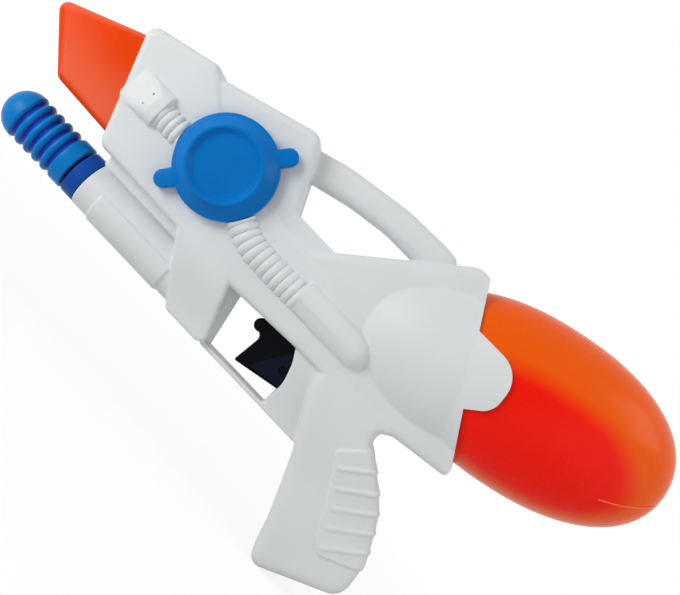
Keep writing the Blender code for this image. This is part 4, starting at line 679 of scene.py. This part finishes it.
# Satin white ABS: a cool white that drifts a little in tone, with a soft broad shine.
white_abs = plastic("white_abs", "#DFE3E4", "#DADEDF", patch=0.060, roughness=0.48, spread=0.05, grain=0.0007,
                    relief=2e-6, shine=0.35)
for shell in shells.values():
    smooth(shell, 40.0)
    wear(shell, white_abs)
    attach(shell, "body")
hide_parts("left_body_shell")
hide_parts("right_body_shell")

# Muzzle shroud
# An orange polypropylene hood with an open slanted front, moulded in one piece.
# Its lip sits behind the shells' front edge, and it holds the jet in a boss.
hollow_outline = [(-0.1920, 0.1134, 0.0), (-0.1500, 0.1135, 0.0), (-0.1736, 0.1690, 0.0),
                  (-0.2240, 0.1474, 0.0)]
mouth_outline = [(-0.2110, 0.1160, 0.0), (-0.1850, 0.1170, 0.0), (-0.2050, 0.1540, 0.0),
                 (-0.2500, 0.1372, 0.0)]
hollow_half = 0.0168
mouth_half = 0.0135
jet_spot = (0.0, 0.0, 0.1370)
jet_boss_radius = 0.0070
jet_room = 0.0043
# How far the painted top light on faces that look up, and the tone's random drift, shift the tone, as metres
# of height.
hood_top_light = 0.060
hood_mottle = 0.010
hood = thick_outline("hood", rounded(shroud_outline), shroud_half, rim=0.0050, rim_steps=6)
cut(hood, thick_outline("hood_room", rounded(hollow_outline), hollow_half, rim=0.0035, rim_steps=4))
cut(hood, thick_outline("hood_mouth", rounded(mouth_outline), mouth_half, rim=0.0030, rim_steps=4))
cut(hood, rod("jet_boss", jet_boss_radius, 0.1520, 0.1700, to_muzzle, jet_spot), "UNION")
cut(hood, rod("jet_room", jet_room, 0.1400, 0.1800, to_muzzle, jet_spot))
hood.name = "muzzle_hood"
smooth(hood, 35.0)


def hood_painted_light(tree, place, drift):
    """Painted light on the hood: a share that rises with height, so the low side is paler as a painted
    reflection; less on faces that look up, painted top light; more on faces that look down, painted shade;
    with a random drift.
    """
    height = add(tree, "ShaderNodeSeparateXYZ", links={0: place})
    normal = add(tree, "ShaderNodeTexCoord").outputs["Normal"]
    facing = add(tree, "ShaderNodeSeparateXYZ", links={0: normal})
    # Faces that look up get a paler tone: painted top light.
    faded = add(tree, "ShaderNodeMath", {"operation": "MULTIPLY_ADD", 1: -hood_top_light},
                {0: facing.outputs["Z"], 2: height.outputs["Z"]})
    uneven = add(tree, "ShaderNodeMath", {"operation": "MULTIPLY_ADD", 1: hood_mottle},
                 {0: drift, 2: faded.outputs["Value"]})
    return add(tree, "ShaderNodeMapRange", {"From Min": 0.112, "From Max": 0.172},
               {"Value": uneven.outputs["Value"]}).outputs["Result"]


def bloom(material, weight, tint):
    """The pale bloom that waxy plastic shows where it turns away."""
    sockets = material.node_tree.nodes["Principled BSDF"].inputs
    sockets["Sheen Weight"].default_value = weight
    sockets["Sheen Roughness"].default_value = 0.30
    sockets["Sheen Tint"].default_value = linear(tint)


# Orange polypropylene: strong colour with a slightly waxy shine; its tone holds painted light, paler low on
# the sides as a painted reflection and on faces that look up, deeper on faces that look down as painted
# shade.
orange_hood = plastic("orange_polypropylene", "#F26441", "#EE4400", patch=0.040, roughness=0.28, spread=0.05,
                      grain=0.0006, relief=1e-6, shine=0.08, tone=hood_painted_light)
bloom(orange_hood, 0.40, "#FFB060")
wear(hood, orange_hood)
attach(hood, "body")
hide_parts("muzzle_shroud")

# Water tank
# An egg-shaped bottle, blow-moulded in orange polyethylene, its round neck inside the shells.
# The mould's pinch-off leaves a short scar over the rear end.
neck_radius = 0.0180
# How much height counts beside width in the tank's painted light and shade, and how far the tone drifts in
# metres.
tank_light_height = 0.35
tank_mottle = 0.004
tank = egg_form("tank_bottle", grow=0.0, steps=160, rings=112)
cut(tank, rod("neck", neck_radius, 0.0700, 0.1155, -tank_axis, tank_centre, steps=96), "UNION")


def tank_painted_shade(tree, place, drift):
    """A share of painted shade on the tank: it rises away from the parting plane and low on the sides, with a
    random drift.
    """
    inside = add(tree, "ShaderNodeMapping", {"vector_type": "TEXTURE", "Location": tank_centre,
                                             "Rotation": (0.0, -tank_tilt, 0.0)}, {"Vector": place})
    parts = add(tree, "ShaderNodeSeparateXYZ", links={0: inside.outputs["Vector"]})
    aside = add(tree, "ShaderNodeMath", {"operation": "ABSOLUTE"}, {0: parts.outputs["Y"]})
    # Low on the sides the share rises, a painted shade in deep red; higher up it falls, painted light in
    # orange.
    lower = add(tree, "ShaderNodeMath", {"operation": "MULTIPLY_ADD", 1: -tank_light_height},
                {0: parts.outputs["Z"], 2: aside.outputs["Value"]})
    uneven = add(tree, "ShaderNodeMath", {"operation": "MULTIPLY_ADD", 1: tank_mottle},
                 {0: drift, 2: lower.outputs["Value"]})
    return add(tree, "ShaderNodeMapRange", {"From Min": 0.030, "From Max": 0.049},
               {"Value": uneven.outputs["Value"]}).outputs["Result"]


# Blown polyethylene: painted shade in deep red low in the middle of each side, painted light in orange on top
# and towards the parting plane, with a soft pale bloom.
orange_tank = plastic("orange_polyethylene", "#F45C00", "#FA1602", patch=0.050, roughness=0.26, spread=0.05,
                      grain=0.0010, relief=1e-6, shine=0.11, tone=tank_painted_shade)
bloom(orange_tank, 0.36, "#FF7E38")
wear(tank, orange_tank)
# The scar's faces are a paler orange, a painted highlight along its ridge, so that it shows as a pale line.
scar_highlight = plastic("scar_highlight_polyethylene", "#FF9062", "#FF7E4C", patch=0.010, roughness=0.50, spread=0.05,
                  grain=0.0005, relief=1e-6, shine=0.11)
tank.data.materials.append(scar_highlight)
scar_rise = 0.0004
scar_half_line = Vector((0.5, -0.866)) * 0.00035
scar_route = bent([(0.1915, 0.1714), (0.1978, 0.1747), (0.2040, 0.1783), (0.2132, 0.1847), (0.2192, 0.1898),
                   (0.2232, 0.1931)], steps=3)
scar = egg_form("scar", scar_rise)
strip = [spot + scar_half_line for spot in scar_route] + [spot - scar_half_line for spot in scar_route[::-1]]
cut(scar, thick_outline("scar_strip", strip, half=0.03, middle=-0.03), "INTERSECT")
wear(scar, orange_tank)
scar.data.materials.append(scar_highlight)
for face in scar.data.polygons:
    face.material_index = 1
cut(tank, scar, "UNION")
smooth(tank, 40.0)
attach(tank, "body")
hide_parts("water_tank")

# Filler cap
# A blue screw cap, turned off by its two lugs, with a dished top inside a raised ridge.
# It is a hollow polypropylene moulding that rides on the filler mouth's thread.
cap_corners = [(0.0, 0.0344, 0.0), (0.0176, 0.0344, 0.0), (0.0176, 0.0271, 0.0), (0.0196, 0.0271, 0.0),
               (0.0196, 0.0347, 0.0), (0.0228, 0.0347, 0.0), (0.0277, 0.0292, 0.0), (0.0291, 0.0268, 0.0),
               (0.0311, 0.0268, 0.0003), (0.0311, 0.0322, 0.0006), (0.0292, 0.0330, 0.0012),
               (0.0228, 0.0403, 0.0008), (0.0212, 0.0403, 0.0006), (0.0185, 0.0373, 0.0004),
               (0.0, 0.0373, 0.0)]
lug_angles = (55.0, 236.5)
lug_root = 0.0271
lug_tip = 0.0366
lug_half_width = 0.0054
lug_half = 0.0029
lug_height = 0.0300
cap = turned("screw_cap", cap_corners, to_left, cap_spot, steps=128)
for angle in lug_angles:
    along = Vector((math.cos(math.radians(angle)), math.sin(math.radians(angle))))
    middle = Vector((cap_spot.x, cap_spot.z))
    lug = capsule_bar(f"lug_{angle:.0f}", middle + along * lug_root, middle + along * lug_tip,
                      lug_half_width, lug_half, rim=0.0012)
    for vertex in lug.data.vertices:
        vertex.co.y -= lug_height
    cut(cap, lug, "UNION")
smooth(cap, 35.0)
# Blue polypropylene: saturated and satin, with a faint broad shine.
blue_pp = plastic("blue_polypropylene", "#0078CC", "#0072C2", patch=0.030, roughness=0.34, spread=0.05,
                  grain=0.0005, relief=1e-6, shine=0.10)
wear(cap, blue_pp)
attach(cap, "cap")
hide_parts("filler_cap")

# Pump collar and grip
# The collar closes the pump's cylinder; the grip is a ribbed hollow knob on the pump's rod.
# Both are turned forms in satin polypropylene, the grip in a bright blue and the collar in a darker one, a
# painted shade from the knob.
collar_corners = [(0.0033, 0.1388, 0.0), (0.0111, 0.1388, 0.0), (0.0111, 0.1446, 0.0),
                  (0.0154, 0.1446, 0.0004), (0.0154, 0.1542, 0.0012), (0.0033, 0.1542, 0.0)]
knob_radius = 0.0156
groove_radius = 0.0133
groove_count = 5
groove_pitch = 0.0071
first_groove = 0.1960
dome_centre = 0.1995
knob_mottle = 0.0004
collar = turned("collar_ring", collar_corners, to_muzzle, pump_spot, steps=96)
knob_corners = [(0.0, 0.2145, 0.0), (knob_radius, 0.2145, 0.0150), (knob_radius, 0.1985, 0.0014)]
for number in range(groove_count):
    groove = first_groove - number * groove_pitch
    knob_corners += [(groove_radius, groove + 0.0004, 0.0004), (groove_radius, groove - 0.0004, 0.0004),
                     (knob_radius, groove - 0.0026, 0.0022)]
    if number < groove_count - 1:
        knob_corners += [(knob_radius, groove - 0.0045, 0.0022)]
knob_corners += [(knob_radius, 0.1559, 0.0012), (0.0122, 0.1559, 0.0), (0.0122, 0.1955, 0.0),
                 (0.0053, 0.1955, 0.0), (0.0053, 0.1570, 0.0), (0.0033, 0.1570, 0.0),
                 (0.0033, 0.1957, 0.0), (0.0, 0.1957, 0.0)]
knob = turned("pump_knob", knob_corners[::-1], to_muzzle, pump_spot, steps=96)


def knob_painted_shade(tree, place, drift):
    """A share from the painted shade in the grooves to the painted light on the crests, measured from a
    capsule in the knob's axis.
    """
    spot = add(tree, "ShaderNodeVectorMath",
               {"operation": "SUBTRACT", 1: (-dome_centre, 0.0, pump_spot.z)}, {0: place})
    parts = add(tree, "ShaderNodeSeparateXYZ", links={0: spot.outputs["Vector"]})
    ahead = add(tree, "ShaderNodeMath", {"operation": "MINIMUM", 1: 0.0}, {0: parts.outputs["X"]})
    arm = add(tree, "ShaderNodeCombineXYZ", links={"X": ahead.outputs["Value"], "Y": parts.outputs["Y"],
                                                   "Z": parts.outputs["Z"]})
    reach = add(tree, "ShaderNodeVectorMath", {"operation": "LENGTH"}, {0: arm.outputs["Vector"]})
    uneven = add(tree, "ShaderNodeMath", {"operation": "MULTIPLY_ADD", 1: knob_mottle},
                 {0: drift, 2: reach.outputs["Value"]})
    return add(tree, "ShaderNodeMapRange", {"From Min": 0.0134, "From Max": 0.0160},
               {"Value": uneven.outputs["Value"]}).outputs["Result"]


# Azure polypropylene: bright on the crests as painted light, deep and violet down in the grooves as painted
# shade.
azure_pp = plastic("azure_polypropylene", "#183CAC", "#007CC8", patch=0.020, roughness=0.30, spread=0.05,
                   grain=0.0005, relief=1e-6, shine=0.12, tone=knob_painted_shade)
# Dark blue polypropylene: the same satin plastic in a deeper tone, painted shade where the collar lies in the
# knob's shade.
shaded_blue = plastic("dark_blue_polypropylene", "#1250AE", "#104BA4", patch=0.030, roughness=0.34, spread=0.05,
                    grain=0.0005, relief=1e-6, shine=0.10)
for piece, finish in ((collar, shaded_blue), (knob, azure_pp)):
    smooth(piece, 35.0)
    wear(piece, finish)
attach(collar, "body")
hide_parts("pump_collar")
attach(knob, "pump")
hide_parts("pump_grip")

# Trigger
# A glossy black polystyrene lever on a steel pin, with a round nose at the top of its finger hook.
# Each side has a raised lower field whose sloping edge runs up from the tip.
trigger_outline = [(-0.0088, 0.0728, 0.0012), (0.0230, 0.0795, 0.0030), (0.0285, 0.0900, 0.0060),
                   (0.0220, 0.1030, 0.0060), (0.0112, 0.1095, 0.0030), (0.0092, 0.1190, 0.0015),
                   (0.0028, 0.1190, 0.0015), (0.0008, 0.1095, 0.0030), (-0.0040, 0.1036, 0.0020),
                   (-0.0145, 0.1034, 0.0015), (-0.0145, 0.0955, 0.0015), (-0.0072, 0.0945, 0.0040)]
field_foot = [(-0.0080, 0.0733), (0.0226, 0.0798), (0.0280, 0.0898), (0.0216, 0.1026), (0.0110, 0.1050)]
field_top = [(-0.0004, 0.0765), (0.0215, 0.0806), (0.0266, 0.0898), (0.0206, 0.1010), (0.0122, 0.0995)]
field_reach = 0.0050
lever_half = 0.0041
round_half = 0.0047
round_edge = 0.0012
pin_spot = (0.0060, 0.0, 0.1120)
pin_room = 0.0022
ring_spot = (0.0161, 0.0, 0.0893)
ring_corners = [(0.0025, 0.0064, 0.0004), (0.0025, 0.0048, 0.0), (0.0013, 0.0048, 0.0),
                (0.0013, 0.0064, 0.0004)]
lever = thick_outline("trigger_lever", rounded(trigger_outline), lever_half, rim=0.0006, rim_steps=2)
for side in (-1, 1):
    levels = [(field_foot, 0.0020), (field_foot, 0.0040), (field_top, field_reach)]
    cut(lever, lofted(f"field_{side}", levels, side), "UNION")
for name, radius, x, z in (("nose", 0.0042, -0.0124, 0.0986), ("knob", 0.0030, 0.0060, 0.1210)):
    corners = [(0.0, -round_half, 0.0), (radius, -round_half, round_edge), (radius, round_half, round_edge),
               (0.0, round_half, 0.0)]
    cut(lever, turned(name, corners, to_right, (x, 0.0, z), steps=48), "UNION")
cut(lever, rod("pin_room", pin_room, -0.02, 0.02, to_right, pin_spot))
for side in (-1, 1):
    cut(lever, turned(f"boss_{side}", ring_corners, (0.0, side, 0.0), ring_spot, steps=32), "UNION")
smooth(lever, 25.0)
# Black polystyrene: near black with a hard clear shine.
black_ps = plastic("black_polystyrene", "#030409", "#04050C", patch=0.020, roughness=0.14, spread=0.03,
                   grain=0.0008, relief=1e-6, shine=0.06)
wear(lever, black_ps)
# The same plastic polished by its mould on the raised fields: a bluish hard shine.
polished = plastic("polished_black_polystyrene", "#05060C", "#070810", patch=0.020, roughness=0.10,
                   spread=0.03, grain=0.0008, relief=5e-7, shine=0.20)
polished.node_tree.nodes["Principled BSDF"].inputs["Specular Tint"].default_value = linear("#B4C0FF")
lever.data.materials.append(polished)
for face in lever.data.polygons:
    if field_reach - 0.0001 < abs(face.center.y) < field_reach + 0.0002:
        face.material_index = 1
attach(lever, "trigger")
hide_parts("trigger")

# Inner works
# The pump, valve, filler and hoses inside the shells: milky polyethylene mouldings, clear vinyl hose,
# black rubber seals and zinc-plated steel, each as it came from its mould, die or wire.

# Milky polyethylene: a warm grey-white that lets light into it.
milky = plastic("natural_polyethylene", "#DAD8CE", "#D0CEC3", patch=0.012, roughness=0.42, spread=0.06,
                grain=0.0005, relief=2e-6, scatter=0.30)
# Vinyl hose: bluish and glossy, with light in its wall.
vinyl = plastic("clear_vinyl", "#C9D4D6", "#BCC9CC", patch=0.010, roughness=0.22, spread=0.05, grain=0.0006,
                relief=2e-6, scatter=0.35)
# Black rubber: matt with a dusty bloom.
rubber = plastic("black_rubber", "#141416", "#1D1D20", patch=0.006, roughness=0.68, spread=0.08, grain=0.0003,
                 relief=4e-6)
# Zinc-plated steel: bright grey with a cool tint, over fine drawing marks.
steel = plastic("zinc_plated_steel", "#B9BDC2", "#A9AEB5", patch=0.004, roughness=0.30, spread=0.07,
                grain=0.0002, relief=2e-6)
steel.node_tree.nodes["Principled BSDF"].inputs["Metallic"].default_value = 1.0
finishes = {"natural_plastic": milky, "soft_hose": vinyl, "black_rubber": rubber, "steel": steel}
for subpart in frame["record"]["subparts"]:
    if subpart["material_slot"] in finishes:
        frame["nodes"][subpart["node"]].material_slots[0].material = finishes[subpart["material_slot"]]

# Valve spring
# A coil of plated steel wire between the plunger's head and the front end of the valve's bore.
# It takes the CAD coil's form.
spring = bpy.data.objects.new("wire_spring", frame["nodes"]["valve_spring"].data.copy())
bpy.context.scene.collection.objects.link(spring)
tidy_mesh(spring)
smooth(spring, 50.0)
wear(spring, steel)
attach(spring, "body")
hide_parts("valve_spring")
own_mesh(spring)

# Stage
# A pale seamless sheet in a white tent, lit by three soft lamps, with the camera at the photograph's angle.
# The sheet and the tent are white to the camera, so that only the object and its soft shadow show.
tilt = math.radians(46.5)
camera_distance = 0.600
sheet_bounce = 0.75
bpy.ops.object.select_all(action="DESELECT")
bpy.ops.object.camera_add()
camera = bpy.context.object
camera.matrix_world = Matrix(((math.cos(tilt), -math.sin(tilt), 0.0, photo_x),
                              (0.0, 0.0, -1.0, -camera_distance),
                              (math.sin(tilt), math.cos(tilt), 0.0, photo_z),
                              (0.0, 0.0, 0.0, 1.0)))
camera.data.lens = 52.9
camera.data.sensor_width = 36.0
scene = bpy.context.scene
scene.camera = camera
scene.view_settings.view_transform = "Standard"


def shows_white(tree):
    """1 for the rays that meet the white background: from the camera, off a gloss or through glass."""
    path = add(tree, "ShaderNodeLightPath")
    glossy = add(tree, "ShaderNodeMath", {"operation": "MAXIMUM"}, {0: path.outputs["Is Camera Ray"],
                                                                    1: path.outputs["Is Glossy Ray"]})
    return add(tree, "ShaderNodeMath", {"operation": "MAXIMUM"},
               {0: glossy.outputs["Value"], 1: path.outputs["Is Transmission Ray"]}).outputs["Value"]


# White paper: it takes the object's shadow and fades out into the tent behind.
bpy.ops.object.select_all(action="DESELECT")
bpy.ops.mesh.primitive_plane_add(size=3.0)
sheet = bpy.context.object
sheet.name = "studio_sheet"
paper = bpy.data.materials.new("white_paper_sheet")
paper.use_nodes = True
tree = paper.node_tree
tree.nodes.remove(tree.nodes["Principled BSDF"])
near = add(tree, "ShaderNodeVectorMath", {"operation": "LENGTH"},
           {0: add(tree, "ShaderNodeTexCoord").outputs["Object"]})
fade = add(tree, "ShaderNodeMapRange", {"From Min": 0.25, "From Max": 0.6}, {"Value": near.outputs["Value"]})
bounce = add(tree, "ShaderNodeBsdfDiffuse", {"Color": (sheet_bounce, sheet_bounce, sheet_bounce, 1.0)})
shaded = add(tree, "ShaderNodeBsdfDiffuse", {"Color": linear("#FFFFFF")})
bright = add(tree, "ShaderNodeEmission", {"Strength": 1.05})
shown = add(tree, "ShaderNodeMixShader", {"Fac": 0.80}, {1: shaded.outputs[0], 2: bright.outputs[0]})
clear = add(tree, "ShaderNodeBsdfTransparent")
faded = add(tree, "ShaderNodeMixShader", links={0: fade.outputs["Result"], 1: shown.outputs[0],
                                                2: clear.outputs[0]})
seen = add(tree, "ShaderNodeMixShader", links={0: shows_white(tree), 1: bounce.outputs[0],
                                               2: faded.outputs[0]})
tree.links.new(seen.outputs[0], tree.nodes["Material Output"].inputs["Surface"])
wear(sheet, paper)

# The tent: darker towards the camera, where its opening is.
tent = bpy.data.worlds.new("white_tent")
scene.world = tent
tent.use_nodes = True
tree = tent.node_tree
heading = add(tree, "ShaderNodeSeparateXYZ", links={0: add(tree, "ShaderNodeTexCoord").outputs["Generated"]})
gap = add(tree, "ShaderNodeMapRange", {"From Min": -0.98, "From Max": -0.55, "To Min": 0.17, "To Max": 0.52},
          {"Value": heading.outputs["Y"]})
white = add(tree, "ShaderNodeMix", {"data_type": "FLOAT", "B": 1.0},
            {"Factor": shows_white(tree), "A": gap.outputs["Result"]})
tree.links.new(white.outputs["Result"], tree.nodes["Background"].inputs["Strength"])
tree.nodes["Background"].inputs["Color"].default_value = linear("#FFFFFF")

# The lamps: name, place, size and power.
lamps = (("top_bank", (0.55, -0.20, 0.85), 0.4, 1.4),
         ("front_bank", (-0.85, -0.70, 0.20), 0.6, 7.0),
         ("tank_bank", (0.70, -0.65, 0.12), 1.0, 2.3))
aim = Vector((0.0, 0.0, 0.12))
for name, place, size, power in lamps:
    bpy.ops.object.light_add(type="AREA", location=place)
    lamp = bpy.context.object
    lamp.name = name
    lamp.data.energy = power
    lamp.data.size = size
    lamp.rotation_euler = (aim - Vector(place)).to_track_quat("-Z", "Y").to_euler()
# The last lamp is flagged off the blue pieces, so that their rear sides stay in shade.
unflagged = bpy.data.collections.new("lit_by_tank_bank")
for piece in (shells[-1], shells[1], hood, tank, lever, sheet):
    unflagged.objects.link(piece)
lamp.light_linking.receiver_collection = unflagged
